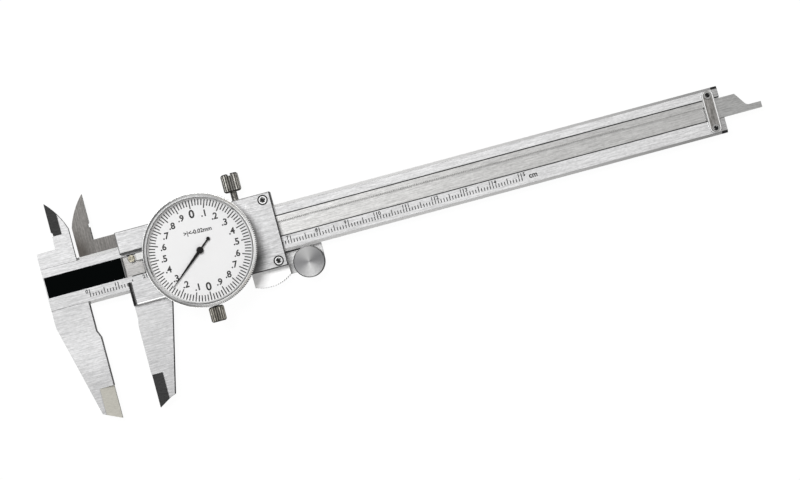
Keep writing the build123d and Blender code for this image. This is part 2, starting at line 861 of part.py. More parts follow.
with BuildPart() as front_plate:
    with BuildSketch(slider_plane(plate_bottom)):
        add(strip(slider_start, slider_length, -front_plate_lower, slider_half_width))
    extrude(amount=front_plate_thickness)
    chamfer(front_plate.edges().group_by(Axis.Z)[-1], plate_chamfer)
    with BuildSketch(slider_plane(plate_bottom)):
        add(strip(0, window_length, -window_bottom, window_top))
    extrude(amount=front_plate_thickness, mode=Mode.SUBTRACT)
    with BuildSketch(section_plane(slide_x + slider_start, -window_bottom)):
        add(
            bevel(
                reading_bevel,
                plate_top,
                plate_bottom + reading_edge_height,
                plate_top + cut_margin,
            )
        )
    extrude(amount=front_plate_lower, mode=Mode.SUBTRACT)
    with BuildSketch(slider_plane(plate_bottom)):
        with Locations(*plate_screw_points):
            Circle(plate_screw_shank + screw_gap)
        with Locations((gear_x, gear_y)):
            Circle(gear_bush_radius)
        with Locations((dial_x, dial_y)):
            with Locations(*case_screw_points):
                Circle(small_screw_shank)
    extrude(amount=front_plate_thickness, mode=Mode.SUBTRACT)
    with BuildSketch(slider_plane(plate_top - plate_screw_head_height - screw_gap)):
        with Locations(*plate_screw_points):
            Circle(plate_screw_head + screw_gap)
    extrude(amount=plate_screw_head_height + screw_gap, mode=Mode.SUBTRACT)
    with BuildSketch(slider_plane(plate_bottom)):
        with Locations(*peg_points):
            Circle(peg_radius)
    extrude(amount=peg_length, mode=Mode.SUBTRACT)

front_plate.part.label = "front_plate"
export_step(front_plate.part, "parts/front_plate.step")

plate_screw = screw(
    plate_screw_head,
    plate_screw_head_height,
    plate_screw_shank,
    front_plate_thickness - plate_screw_head_height + plate_screw_grip - screw_gap * 2,
    recess="cross",
)

with BuildPart() as front_plate_screws:
    with Locations(slider_plane(plate_top - plate_screw_head_height - screw_gap)):
        with Locations(*plate_screw_points):
            add(plate_screw)

front_plate_screws.part.label = "front_plate_screws"
export_step(front_plate_screws.part, "parts/front_plate_screws.step")

# Depth rod: lies in the groove, ends flush with the beam when the jaws are closed, and
# narrows to a foot for small holes
rod_high = rod_low + rod_width
rod_full_end = beam_after_face - rod_foot_length
rod_leg_start = beam_after_face - rod_leg_length
rod_leg_top = rod_low + rod_leg_width

with BuildPart() as depth_rod:
    with BuildSketch(slider_plane(rod_bottom)) as rod_outline:
        add(
            closed_outline(
                (rod_start, rod_low),
                (beam_after_face, rod_low),
                (beam_after_face, rod_leg_top),
                (rod_leg_start, rod_leg_top),
                (rod_full_end, rod_high),
                (rod_start, rod_high),
            )
        )
        inner_corner = rod_outline.vertices().sort_by_distance((rod_leg_start, rod_leg_top))[0]
        fillet(inner_corner, rod_foot_fillet)
        with Locations(*peg_points):
            Circle(rivet_radius, mode=Mode.SUBTRACT)
    extrude(amount=rod_thickness)

depth_rod.part.label = "depth_rod"
export_step(depth_rod.part, "parts/depth_rod.step")

# Block that hangs the depth rod from the front plate: two pegs above, two rivets below
with BuildPart() as rod_holder:
    with BuildSketch(slider_plane(rod_top)):
        add(
            strip(
                holder_left,
                holder_left + holder_length,
                peg_y - holder_width / 2,
                peg_y + holder_width / 2,
            )
        )
    extrude(amount=plate_bottom - rod_top)
    with BuildSketch(slider_plane(plate_bottom)):
        with Locations(*peg_points):
            Circle(peg_radius)
    extrude(amount=peg_length)
    with BuildSketch(slider_plane(rod_top)):
        with Locations(*peg_points):
            Circle(rivet_radius)
    extrude(amount=rod_thickness, mode=Mode.SUBTRACT)

rod_holder.part.label = "rod_holder"
export_step(rod_holder.part, "parts/rod_holder.step")

with BuildPart() as rod_rivets:
    with BuildSketch(slider_plane(rod_bottom)):
        with Locations(*peg_points):
            Circle(rivet_radius)
    extrude(amount=rod_thickness * 2)

rod_rivets.part.label = "rod_rivets"
export_step(rod_rivets.part, "parts/rod_rivets.step")

# Thumb roller: turned with a shallow cone in its face, and blind-bored from behind
roller_bottom = bracket_thickness + axle_collar_height + slide_gap
roller_top = roller_bottom + roller_thickness
roller_rim = roller_radius - slide_gap
bore_top = roller_top - roller_dish - roller_web
roller_shape = turned(
    (0, bore_top),
    (axle_radius + pivot_gap, bore_top),
    (axle_radius + pivot_gap, roller_bottom),
    (roller_rim - roller_chamfer, roller_bottom),
    (roller_rim, roller_bottom + roller_chamfer),
    (roller_rim, roller_top - roller_chamfer),
    (roller_rim - roller_chamfer, roller_top),
    (0, roller_top - roller_dish),
)

with BuildPart() as thumb_roller:
    with Locations(slider_plane(0)):
        with Locations((roller_x, roller_y)):
            add(roller_shape)

thumb_roller.part.label = "thumb_roller"
export_step(thumb_roller.part, "parts/thumb_roller.step")

axle_shape = turned(
    (0, 0),
    (axle_radius, 0),
    (axle_radius, bracket_thickness),
    (axle_collar_radius, bracket_thickness),
    (axle_collar_radius, bracket_thickness + axle_collar_height),
    (axle_radius, bracket_thickness + axle_collar_height),
    (axle_radius, bore_top - slide_gap),
    (0, bore_top - slide_gap),
)

with BuildPart() as roller_axle:
    with Locations(slider_plane(0)):
        with Locations((roller_x, roller_y)):
            add(axle_shape)

roller_axle.part.label = "roller_axle"
export_step(roller_axle.part, "parts/roller_axle.step")

# Slider lock screw, whose tip meets the gib through the upper rail
lock_knob = knob(lock_knob_radius, lock_knob_length, lock_knob_ridges)
lock_shank_length = slider_half_width - rail_high + lock_knob_gap

with BuildPart() as slider_lock_screw:
    with Locations(outward_plane(slide_x + lock_screw_x, rail_high, mid_height)):
        Cylinder(
            lock_shank_radius,
            lock_shank_length,
            align=(Align.CENTER, Align.CENTER, Align.MIN),
        )
        with Locations((0, 0, lock_shank_length)):
            add(lock_knob)
        with Locations((0, 0, lock_shank_length + lock_knob_length)):
            Box(
                lock_slot_width,
                2 * lock_knob_radius + cut_margin,
                lock_slot_depth * 2,
                mode=Mode.SUBTRACT,
            )

slider_lock_screw.part.label = "slider_lock_screw"
export_step(slider_lock_screw.part, "parts/slider_lock_screw.step")

# Dust wiper: a small steel tongue over the rack, hung from the case's base
with BuildPart() as rack_wiper:
    with BuildSketch(slider_plane(plate_bottom)):
        add(
            strip(
                wiper_start,
                window_length,
                wiper_y - wiper_width / 2,
                wiper_y + wiper_width / 2,
            )
        )
    extrude(amount=wiper_thickness)
    with BuildSketch(slider_plane(plate_bottom)):
        add(
            strip(
                window_length - wiper_post_length,
                window_length,
                wiper_y - wiper_width / 2,
                wiper_y + wiper_width / 2,
            )
        )
    extrude(amount=front_plate_thickness)

rack_wiper.part.label = "rack_wiper"
export_step(rack_wiper.part, "parts/rack_wiper.step")

# Dial case: a flat cup on the front plate, with a boss for the bezel's clamp screw
centre_bush_radius = pivot_radius + pivot_gap + bush_wall
clamp_boss_end = case_radius + clamp_boss_length
pillar_points = around(pillar_circle, pillar_angles)

with BuildPart() as dial_case:
    with BuildSketch(dial_plane(plate_top)):
        Circle(case_radius)
    extrude(amount=case_height)
    with BuildSketch(dial_plane(case_floor)):
        Circle(case_bore)
    extrude(amount=case_height, mode=Mode.SUBTRACT)
    with BuildSketch(section_plane(slide_x + dial_x, dial_y - case_radius + case_wall / 2)):
        with Locations((0, clamp_height)):
            Circle(clamp_boss_radius)
    extrude(amount=clamp_boss_end - case_radius + case_wall / 2)
    with BuildSketch(section_plane(slide_x + dial_x, dial_y - case_bore + cut_margin)):
        with Locations((0, clamp_height)):
            Circle(clamp_shank_radius + screw_gap)
    extrude(amount=case_radius, mode=Mode.SUBTRACT)
    with BuildSketch(dial_plane(plate_top)):
        Circle(centre_bush_radius)
        with Locations((gear_x - dial_x, gear_y - dial_y)):
            Circle(gear_shaft_radius + wheel_gap)
        with Locations(*case_screw_points):
            Circle(small_screw_shank + screw_gap)
        with Locations(*pillar_points):
            Circle(small_screw_shank)
    extrude(amount=case_base, mode=Mode.SUBTRACT)

dial_case.part.label = "dial_case"
export_step(dial_case.part, "parts/dial_case.step")

case_screw = screw(
    small_screw_head,
    small_screw_head_height,
    small_screw_shank,
    case_base + small_screw_grip,
    finished=False,
)

with BuildPart() as case_screws:
    with Locations(dial_plane(case_floor)):
        with Locations(*case_screw_points):
            add(case_screw)

case_screws.part.label = "case_screws"
export_step(case_screws.part, "parts/case_screws.step")

# Movement bridge on three pillars: it carries the upper pivots of both arbors
with BuildPart() as bridge_pillars:
    with BuildSketch(dial_plane(case_floor)):
        with Locations(*pillar_points):
            Circle(pillar_radius)
            Circle(small_screw_shank + screw_gap, mode=Mode.SUBTRACT)
    extrude(amount=bridge_bottom - case_floor)

bridge_pillars.part.label = "bridge_pillars"
export_step(bridge_pillars.part, "parts/bridge_pillars.step")

with BuildPart() as movement_bridge:
    with BuildSketch(dial_plane(bridge_bottom)):
        with Locations(*pillar_points):
            Circle(pillar_radius + bridge_margin)
        with Locations((gear_x - dial_x, gear_y - dial_y)):
            Circle(centre_bush_radius + bridge_margin * 2)
        make_hull()
        Circle(centre_shaft_radius + pivot_gap + bush_wall, mode=Mode.SUBTRACT)
        with Locations((gear_x - dial_x, gear_y - dial_y)):
            Circle(centre_bush_radius, mode=Mode.SUBTRACT)
        with Locations(*pillar_points):
            Circle(small_screw_shank + screw_gap, mode=Mode.SUBTRACT)
    extrude(amount=bridge_thickness)

movement_bridge.part.label = "movement_bridge"
export_step(movement_bridge.part, "parts/movement_bridge.step")

bridge_screw = screw(
    small_screw_head,
    small_screw_head_height,
    small_screw_shank,
    bridge_top - case_floor + bridge_screw_grip,
    finished=False,
)

with BuildPart() as bridge_screws:
    with Locations(dial_plane(bridge_top)):
        with Locations(*pillar_points):
            add(bridge_screw)

bridge_screws.part.label = "bridge_screws"
export_step(bridge_screws.part, "parts/bridge_screws.step")

# Bushes of the two arbors, pressed into the front plate, the case's base and the bridge
with BuildPart() as gear_bushes:
    with BuildSketch(gear_plane(plate_bottom)):
        Circle(gear_bush_radius)
        Circle(gear_shaft_radius + pivot_gap, mode=Mode.SUBTRACT)
    extrude(amount=front_plate_thickness)
    with BuildSketch(gear_plane(bridge_bottom)):
        Circle(centre_bush_radius)
        Circle(pivot_radius + pivot_gap, mode=Mode.SUBTRACT)
    extrude(amount=bridge_thickness)

gear_bushes.part.label = "gear_bushes"
export_step(gear_bushes.part, "parts/gear_bushes.step")

with BuildPart() as centre_bushes:
    with BuildSketch(dial_plane(plate_top)):
        Circle(centre_bush_radius)
        Circle(pivot_radius + pivot_gap, mode=Mode.SUBTRACT)
    extrude(amount=case_base)
    with BuildSketch(dial_plane(bridge_bottom)):
        Circle(centre_shaft_radius + pivot_gap + bush_wall)
        Circle(centre_shaft_radius + pivot_gap, mode=Mode.SUBTRACT)
    extrude(amount=bridge_thickness)

centre_bushes.part.label = "centre_bushes"
export_step(centre_bushes.part, "parts/centre_bushes.step")

# Gear arbor: its pinion runs on the rack under the front plate, its wheels drive the
# pointer's pinion inside the case
pinion_bottom = rod_top + slide_gap * 2
pinion_top = plate_bottom - slide_gap * 2
arbor_shape = turned(
    (0, pinion_top),
    (gear_shaft_radius, pinion_top),
    (gear_shaft_radius, bridge_bottom - slide_gap),
    (pivot_radius, bridge_bottom - slide_gap),
    (pivot_radius, bridge_top),
    (0, bridge_top),
)

with BuildPart() as rack_pinion:
    with BuildSketch(gear_plane(pinion_bottom)):
        add(gear_outline(rack_pinion_teeth, 90))
    extrude(amount=pinion_top - pinion_bottom)
    with Locations(gear_plane(0)):
        add(arbor_shape)

rack_pinion.part.label = "rack_pinion"
export_step(rack_pinion.part, "parts/rack_pinion.step")

with BuildSketch() as wheel_outline:
    add(gear_outline(wheel_teeth, mesh_angle, straight=True))
    Circle(gear_shaft_radius, mode=Mode.SUBTRACT)

with BuildPart() as drive_wheel:
    with BuildSketch(gear_plane(wheel_bottom)):
        add(wheel_outline.sketch)
    extrude(amount=wheel_thickness)

drive_wheel.part.label = "drive_wheel"
export_step(drive_wheel.part, "parts/drive_wheel.step")

with BuildPart() as take_up_wheel:
    with BuildSketch(gear_plane(take_up_bottom)):
        add(wheel_outline.sketch)
    extrude(amount=take_up_thickness)

take_up_wheel.part.label = "take_up_wheel"
export_step(take_up_wheel.part, "parts/take_up_wheel.step")

# Open spring ring between the two wheels, which takes up the backlash
with BuildPart() as take_up_spring:
    with BuildSketch(gear_plane(wheel_top)):
        with BuildLine():
            CenterArc((0, 0), spring_radius, spring_opening / 2, 360 - spring_opening)
        trace(line_width=spring_width)
    extrude(amount=wheel_spacing)

take_up_spring.part.label = "take_up_spring"
export_step(take_up_spring.part, "parts/take_up_spring.step")

# Centre arbor: the pinion that both wheels turn, and the shaft that carries the pointer
shaft_top = hub_bottom + hub_height - pointer_thickness
centre_shape = turned(
    (0, plate_top + slide_gap),
    (pivot_radius, plate_top + slide_gap),
    (pivot_radius, case_floor + slide_gap),
    (centre_shaft_radius, case_floor + slide_gap),
    (centre_shaft_radius, shaft_top),
    (0, shaft_top),
)

with BuildPart() as centre_arbor:
    with BuildSketch(dial_plane(wheel_bottom - slide_gap)):
        add(gear_outline(centre_pinion_teeth, mesh_angle + 180 + 180 / centre_pinion_teeth))
    extrude(amount=take_up_top - wheel_bottom + slide_gap * 2)
    with Locations(dial_plane(0)):
        add(centre_shape)

centre_arbor.part.label = "centre_arbor"
export_step(centre_arbor.part, "parts/centre_arbor.step")

# Pointer: a tapered needle with a round-ended tail, on a hub that caps the centre arbor
tail_centre = pointer_tail - pointer_tail_radius

with BuildSketch() as pointer_outline:
    add(
        closed_outline(
            (0, pointer_root_width / 2),
            (0, -pointer_root_width / 2),
            (pointer_length, -pointer_tip_width / 2),
            (pointer_length, pointer_tip_width / 2),
        )
    )
    add(strip(-tail_centre, 0, -pointer_tail_width / 2, pointer_tail_width / 2))
    with Locations((-tail_centre, 0)):
        Circle(pointer_tail_radius)
    Circle(hub_radius)

with BuildPart() as pointer:
    with BuildSketch(dial_plane(pointer_bottom)):
        add(pointer_outline.sketch, rotation=pointer_angle)
    extrude(amount=pointer_thickness)
    with BuildSketch(dial_plane(hub_bottom)):
        Circle(hub_radius)
    extrude(amount=hub_height)
    with BuildSketch(dial_plane(hub_bottom)):
        Circle(centre_shaft_radius)
    extrude(amount=shaft_top - hub_bottom, mode=Mode.SUBTRACT)

pointer.part.label = "pointer"
export_step(pointer.part, "parts/pointer.step")

# Bezel: its skirt turns inside the case's wall, with a groove for the clamp screw's tip,
# and its rim holds the dial face, the spacer ring and the crystal
band_bottom = bezel_bottom + (bezel_height - bezel_round - knurl_band_height) / 2
plain_radius = bezel_radius - bezel_knurl_depth - bezel_knurl_step
groove_half = clamp_tip_radius + screw_gap
bezel_shape = turned(
    (skirt_bore, skirt_bottom),
    (skirt_radius, skirt_bottom),
    (skirt_radius, clamp_height - groove_half),
    (skirt_radius - clamp_groove, clamp_height - groove_half),
    (skirt_radius - clamp_groove, clamp_height + groove_half),
    (skirt_radius, clamp_height + groove_half),
    (skirt_radius, bezel_bottom),
    (plain_radius, bezel_bottom),
    (plain_radius, bezel_top - bezel_round),
    (plain_radius - bezel_round, bezel_top),
    (bezel_bore, bezel_top),
    (bezel_bore, crystal_top),
    (crystal_radius, crystal_top),
    (crystal_radius, crystal_bottom),
    (bezel_bore, crystal_bottom),
    (bezel_bore, dial_bottom),
    (skirt_bore, dial_bottom),
)

with BuildPart() as bezel:
    with Locations(dial_plane(0)):
        add(bezel_shape)
    with BuildSketch(dial_plane(band_bottom)):
        add(knurled(bezel_radius, bezel_knurl_depth, bezel_knurls))
        Circle(crystal_radius + slide_gap, mode=Mode.SUBTRACT)
    extrude(amount=knurl_band_height)

bezel.part.label = "bezel"
export_step(bezel.part, "parts/bezel.step")

with BuildPart() as dial_face:
    with BuildSketch(dial_plane(dial_bottom)):
        Circle(dial_radius)
        Circle(hub_radius, mode=Mode.SUBTRACT)
    extrude(amount=dial_thickness)

dial_face.part.label = "dial_face"
export_step(dial_face.part, "parts/dial_face.step")

with BuildPart() as spacer_ring:
    with BuildSketch(dial_plane(dial_top)):
        Circle(dial_radius)
        Circle(dial_radius - spacer_wall, mode=Mode.SUBTRACT)
    extrude(amount=spacer_height)

spacer_ring.part.label = "spacer_ring"
export_step(spacer_ring.part, "parts/spacer_ring.step")

with BuildPart() as crystal:
    with BuildSketch(dial_plane(crystal_bottom)):
        Circle(crystal_radius - glazing_gap)
    extrude(amount=crystal_thickness)

crystal.part.label = "crystal"
export_step(crystal.part, "parts/crystal.step")

# Bezel clamp screw, under the dial: its tip runs in the skirt's groove
clamp_knob = knob(clamp_knob_radius, clamp_knob_length, clamp_knob_ridges)
clamp_tip_y = -skirt_radius + clamp_groove / 2
clamp_shank_start = case_bore + slide_gap
clamp_shank_length = bezel_radius + screw_gap * 2 - clamp_shank_start
clamp_tip_length = clamp_shank_start + clamp_tip_y

with BuildPart() as bezel_clamp_screw:
    with Locations(section_plane(slide_x + dial_x, dial_y - clamp_shank_start)):
        with Locations((0, clamp_height)):
            Cylinder(
                clamp_shank_radius,
                clamp_shank_length,
                align=(Align.CENTER, Align.CENTER, Align.MIN),
            )
            Cylinder(
                clamp_tip_radius,
                clamp_tip_length,
                align=(Align.CENTER, Align.CENTER, Align.MAX),
            )
        with Locations((0, clamp_height, clamp_shank_length)):
            add(clamp_knob)

bezel_clamp_screw.part.label = "bezel_clamp_screw"
export_step(bezel_clamp_screw.part, "parts/bezel_clamp_screw.step")
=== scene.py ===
# %% [markdown]
# # Dressing a dial caliper
#
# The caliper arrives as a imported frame: every steel part already has its real shape and place.
# This lesson gives each part its finish, adds what is printed, engraved or threaded, and sets
# up a soft studio round it. Nothing of the frame is moved or reshaped.

# %% Load the frame
import bpy
import json
import math
from mathutils import Matrix, Vector


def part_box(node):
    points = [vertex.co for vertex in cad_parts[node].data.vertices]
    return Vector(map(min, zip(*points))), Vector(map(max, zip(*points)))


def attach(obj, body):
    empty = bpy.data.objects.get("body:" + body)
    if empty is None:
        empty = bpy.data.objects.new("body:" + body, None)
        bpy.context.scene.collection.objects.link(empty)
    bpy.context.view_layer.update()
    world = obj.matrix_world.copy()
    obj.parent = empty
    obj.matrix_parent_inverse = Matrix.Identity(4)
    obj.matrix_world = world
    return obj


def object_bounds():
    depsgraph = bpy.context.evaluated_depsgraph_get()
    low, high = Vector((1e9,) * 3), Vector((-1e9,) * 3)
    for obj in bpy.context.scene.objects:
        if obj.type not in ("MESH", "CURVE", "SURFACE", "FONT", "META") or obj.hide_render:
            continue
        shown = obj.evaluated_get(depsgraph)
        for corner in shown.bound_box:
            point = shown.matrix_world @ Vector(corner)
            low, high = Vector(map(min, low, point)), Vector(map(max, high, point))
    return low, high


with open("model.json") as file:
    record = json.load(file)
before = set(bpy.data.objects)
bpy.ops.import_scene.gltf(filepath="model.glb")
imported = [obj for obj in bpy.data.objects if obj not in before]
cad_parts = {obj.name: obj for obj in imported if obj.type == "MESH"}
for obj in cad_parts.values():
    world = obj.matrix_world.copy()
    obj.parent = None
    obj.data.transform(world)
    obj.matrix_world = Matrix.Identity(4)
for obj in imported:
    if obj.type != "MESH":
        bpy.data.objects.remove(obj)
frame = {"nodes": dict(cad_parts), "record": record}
cad_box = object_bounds()
MM = 0.001

print("parts in the frame:", len(frame["nodes"]))

# %% [markdown]
# ## Places on the tool
#
# The marks are laid out from two lines: the fixed jaw's measuring face, which is where the
# scale starts, and the beam's mid line. Both are read from the frame, so that the marks stay
# on the steel that carries them. The dial's marks are laid out from the dial's centre.

# %% Read the places from the frame
mounts = {mount["name"]: Vector(mount["pos_m"]) for mount in frame["record"]["mounts"]}
measuring_face = mounts["fixed_jaw_face"].x


def middle(node):
    """The middle of a part's box."""
    low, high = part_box(node)
    return (low + high) / 2


def top(node):
    """The height of a part's highest point."""
    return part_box(node)[1].z


mid_line = middle("end_clamp_plate").y
beam_top = top("main_beam")
dial_centre = middle("dial_face")
dial_top = top("dial_face")

print("measuring face at x = %.2f mm" % (measuring_face / MM))
print("mid line at y = %.2f mm" % (mid_line / MM))
print("dial centre at (%.2f, %.2f) mm" % (dial_centre.x / MM, dial_centre.y / MM))

# %% [markdown]
# ## Camera
#
# The photograph looks almost straight down from about three quarters of a metre, with the tool
# turned a little so that the beam climbs to the right. The camera looks at a point near the
# middle of the tool, leans a little towards the beam's end and the jaws' tips, and rolls about
# its own axis.

# %% Aim the camera
camera_distance = 750 * MM
camera_lean = math.radians(1.306)
camera_tilt = math.radians(0.659)
camera_roll = math.radians(-15.039)
camera_target = Vector((-4.56, -4.609, 5.5)) * MM
width_in_view = 267.917 * MM
sensor_width = 36.0


def add_object(name, data):
    """A new object in the scene."""
    thing = bpy.data.objects.new(name, data)
    bpy.context.scene.collection.objects.link(thing)
    return thing


camera_data = bpy.data.cameras.new("camera")
camera_data.sensor_width = sensor_width
camera_data.lens = sensor_width * camera_distance / width_in_view
camera = add_object("camera", camera_data)
lean = Matrix.Rotation(camera_tilt, 4, "X") @ Matrix.Rotation(camera_lean, 4, "Y")
roll = Matrix.Rotation(camera_roll, 4, "Z")
stand = Matrix.Translation((0, 0, camera_distance))
camera.matrix_world = Matrix.Translation(camera_target) @ lean @ stand @ roll
bpy.context.scene.camera = camera

print("lens: %.1f mm" % camera_data.lens)

# %% [markdown]
# ## Writing node trees as sums
#
# Materials and Geometry Nodes are both trees of nodes. `Value` wraps one output socket, so a
# sum such as `1 - mask` adds its own Math node. `Tree` has a single method that adds any other
# node: its type, then its settings, then what goes into its sockets. A value knows its tree, so
# the helpers further down find the tree in what they are given.

# %% A socket that does arithmetic
def operator(operation, turned=False):
    """A method that adds a Math node on the value and another number, or the other way round."""
    if turned:
        return lambda self, other: self.math(operation, other, self)
    return lambda self, other: self.math(operation, self, other)


class Value:
    """An output socket that can be added, multiplied and compared like a number."""

    __add__ = operator("ADD")
    __radd__ = operator("ADD", turned=True)
    __sub__ = operator("SUBTRACT")
    __rsub__ = operator("SUBTRACT", turned=True)
    __mul__ = operator("MULTIPLY")
    __truediv__ = operator("DIVIDE")
    __mod__ = operator("MODULO")
    __lt__ = operator("LESS_THAN")
    __gt__ = operator("GREATER_THAN")
    __pow__ = operator("POWER")
    at_least = operator("MAXIMUM")
    at_most = operator("MINIMUM")

    def __init__(self, tree, socket):
        self.tree = tree
        self.socket = socket

    def math(self, operation, *numbers):
        """The result of a Math node on these numbers."""
        return self.tree.add("ShaderNodeMath", {"operation": operation}, dict(enumerate(numbers)))

    def size(self):
        """The number without its sign."""
        return self.math("ABSOLUTE", self)

    def held(self):
        """The number, held between 0 and 1."""
        return self.at_least(0).at_most(1)


# %% A tree with one way to add a node
class Tree:
    """A node tree of a material, a world or Geometry Nodes."""

    def __init__(self, tree):
        self.tree = tree

    def add(self, kind, settings=None, sockets=None, output=0):
        """Adds a node: its settings first, then the values or links of its sockets."""
        node = self.tree.nodes.new(kind)
        for name, setting in (settings or {}).items():
            if name == "stops":
                self.set_stops(node.color_ramp, setting)
            else:
                setattr(node, name, setting)
        for name, value in (sockets or {}).items():
            if isinstance(value, Value):
                self.tree.links.new(value.socket, node.inputs[name])
            else:
                node.inputs[name].default_value = value
        return Value(self, node.outputs[output]) if node.outputs else node

    def set_stops(self, ramp, stops):
        """Gives a colour ramp its stops, each a position and a grey or a colour."""
        for number, (position, colour) in enumerate(stops):
            stop = ramp.elements[number] if number < 2 else ramp.elements.new(position)
            stop.position = position
            stop.color = paint(colour)


def paint(colour):
    """A grey number or a (red, green, blue) colour, as a socket takes it. A link stays a link."""
    if isinstance(colour, Value):
        return colour
    shades = (colour,) * 3 if isinstance(colour, (int, float)) else tuple(colour)
    return shades + (1.0,)


def emptied(owner):
    """The tree of a new material or world, with nothing in it."""
    owner.use_nodes = True
    owner.node_tree.nodes.clear()
    return Tree(owner.node_tree)


def vector(tree, x=0.0, y=0.0, z=0.0):
    """Three numbers as a vector."""
    return tree.add("ShaderNodeCombineXYZ", {}, {"X": x, "Y": y, "Z": z})


print("tree helpers ready")

# %% [markdown]
# ## Studio
#
# Polished steel shows its surroundings, so the surroundings are the light. The world is a sweep
# from left to right: bright overhead, nearly black low on the left, a warm grey low on the
# right and white at the right horizon. So bevels that lean left turn dark, and the ones that
# lean right turn a warm grey. A large soft lamp hangs high at the upper left, so a tall rim
# shades the ground steel on its lower right. The floor is white for the camera alone: in
# reflections it is dark, as a bench beyond the paper would be, and that draws the thin dark
# outlines along the sides of the steel.

# %% Light the world
world_strength = 1.0
backdrop = 1.0
# Each stop is a place from the left, 0, to the right, 1, and how bright the sweep is there.
sweep = [
    (0.00, 0.50),
    (0.06, 0.30),
    (0.14, 0.06),
    (0.20, 0.10),
    (0.30, 0.34),
    (0.38, 0.62),
    (0.46, 0.88),
    (0.51, 0.92),
    (0.56, 0.80),
    (0.62, 0.62),
    (0.82, (0.56, 0.53, 0.49)),
    (0.92, 0.70),
    (0.98, 1.00),
]


def light_world():
    """A studio that varies from left to right, and that the camera sees as an even backdrop."""
    world = bpy.data.worlds.new("soft_studio")
    tree = emptied(world)
    direction = tree.add("ShaderNodeTexCoord", output="Generated")
    across = tree.add("ShaderNodeSeparateXYZ", {}, {"Vector": direction}, "X")
    glow = tree.add("ShaderNodeValToRGB", {"stops": sweep}, {"Fac": across * 0.5 + 0.5}, "Color")
    seen = tree.add("ShaderNodeLightPath", output="Is Camera Ray")
    studio = tree.add("ShaderNodeBackground", {}, {"Color": glow, "Strength": world_strength})
    plain = tree.add("ShaderNodeBackground", {}, {"Color": paint(backdrop), "Strength": 1.0})
    both = tree.add("ShaderNodeMixShader", {}, {0: seen, 1: studio, 2: plain})
    tree.add("ShaderNodeOutputWorld", {}, {"Surface": both})
    bpy.context.scene.world = world


light_world()
bpy.context.scene.view_settings.view_transform = "Standard"
print("world stops:", len(sweep))

# %% Hang the soft lamp
lamp_size = 400 * MM
lamp_power = 5.6
lamp_place = Vector((-265, 385, 890)) * MM


def hang_lamp(name, place, size, power):
    """A square area lamp that faces the tool."""
    data = bpy.data.lights.new(name, "AREA")
    data.size = size
    data.energy = power
    lamp = add_object(name, data)
    lamp.location = place
    lamp.rotation_mode = "QUATERNION"
    lamp.rotation_quaternion = (-place).to_track_quat("-Z", "Y")


hang_lamp("upper_left_lamp", lamp_place, lamp_size, lamp_power)

# %% Lay the floor
floor_size = 6.0
floor_gap = 0.02 * MM
paper_tone = 0.9
paper_light = 1.03
floor_glow = 0.93
floor_in_reflections = 0.22


def floor_finish():
    """White paper that glows a little for the camera, and a dark board in reflections."""
    material = bpy.data.materials.new("pale_floor")
    tree = emptied(material)
    paper = tree.add("ShaderNodeBsdfDiffuse", {}, {"Color": paint(paper_tone)})
    glow = tree.add("ShaderNodeEmission", {}, {"Color": paint(1.0), "Strength": paper_light})
    lit = tree.add("ShaderNodeMixShader", {}, {0: floor_glow, 1: paper, 2: glow})
    board = tree.add("ShaderNodeBsdfDiffuse", {}, {"Color": paint(floor_in_reflections)})
    seen = tree.add("ShaderNodeLightPath", output="Is Camera Ray")
    both = tree.add("ShaderNodeMixShader", {}, {0: seen, 1: board, 2: lit})
    tree.add("ShaderNodeOutputMaterial", {}, {"Surface": both})
    return material


def lay_floor():
    """One flat square under the tool."""
    half = floor_size / 2
    corners = [(-half, -half), (half, -half), (half, half), (-half, half)]
    mesh = bpy.data.meshes.new("floor")
    mesh.from_pydata([(x, y, cad_box[0].z - floor_gap) for x, y in corners], [], [(0, 1, 2, 3)])
    mesh.materials.append(floor_finish())
    floor = add_object("floor", mesh)


lay_floor()
print("floor at z = %.2f mm" % ((cad_box[0].z - floor_gap) / MM))

# %% [markdown]
# ## Ground steel
#
# The beam, the slider and the plates are ground: a wheel leaves long parallel scratches, which
# show as faint light and dark streaks and spread each highlight across them. Stretched noise
# gives the streaks, in a coarse layer that the eye sees and a fine one for the bump, and short
# specks between them are the pits that the wheel left. All of it is laid on Object
# coordinates, which here are places on the tool in metres.

# %% Start a finish
noise_roughness = 0.6


def new_finish(name):
    """An empty material, the point being shaded and its three coordinates."""
    material = bpy.data.materials.new(name)
    tree = emptied(material)
    point = tree.add("ShaderNodeTexCoord", output="Object")
    parts = [tree.add("ShaderNodeSeparateXYZ", {}, {"Vector": point}, axis) for axis in "XYZ"]
    return material, point, *parts


def noise(point, grain, detail=2.0):
    """Noise whose grain is this long along X, Y and Z, from 0 to 1."""
    stretch = tuple(1 / length for length in grain)
    tree = point.tree
    place = tree.add("ShaderNodeVectorMath", {"operation": "MULTIPLY"}, {0: point, 1: stretch})
    sockets = {"Vector": place, "Scale": 1.0, "Detail": detail, "Roughness": noise_roughness}
    return tree.add("ShaderNodeTexNoise", {}, sockets, "Fac")


def mix(share, first, second):
    """A colour between two colours, by a share from 0 to 1."""
    sockets = {0: share, 6: paint(first), 7: paint(second)}
    return share.tree.add("ShaderNodeMix", {"data_type": "RGBA"}, sockets, 2)


def dented(height, depth):
    """A normal that follows a height from 0 to 1, this deep."""
    sockets = {"Strength": 1.0, "Distance": depth, "Height": height}
    return height.tree.add("ShaderNodeBump", {}, sockets, "Normal")


print("finish helpers ready")

# %% Places as masks
def inside(value, low, high):
    """1 where a coordinate lies between two places, and 0 elsewhere."""
    return (value > low) * (value < high)


def near(value, place, reach):
    """1 at a place, falling to 0 at this distance from it."""
    return (1 - (value - place).size() / reach).at_least(0)


def ramp(value, start, end):
    """0 up to the start, 1 past the end, and rising evenly between them."""
    return ((value - start) / (end - start)).held()


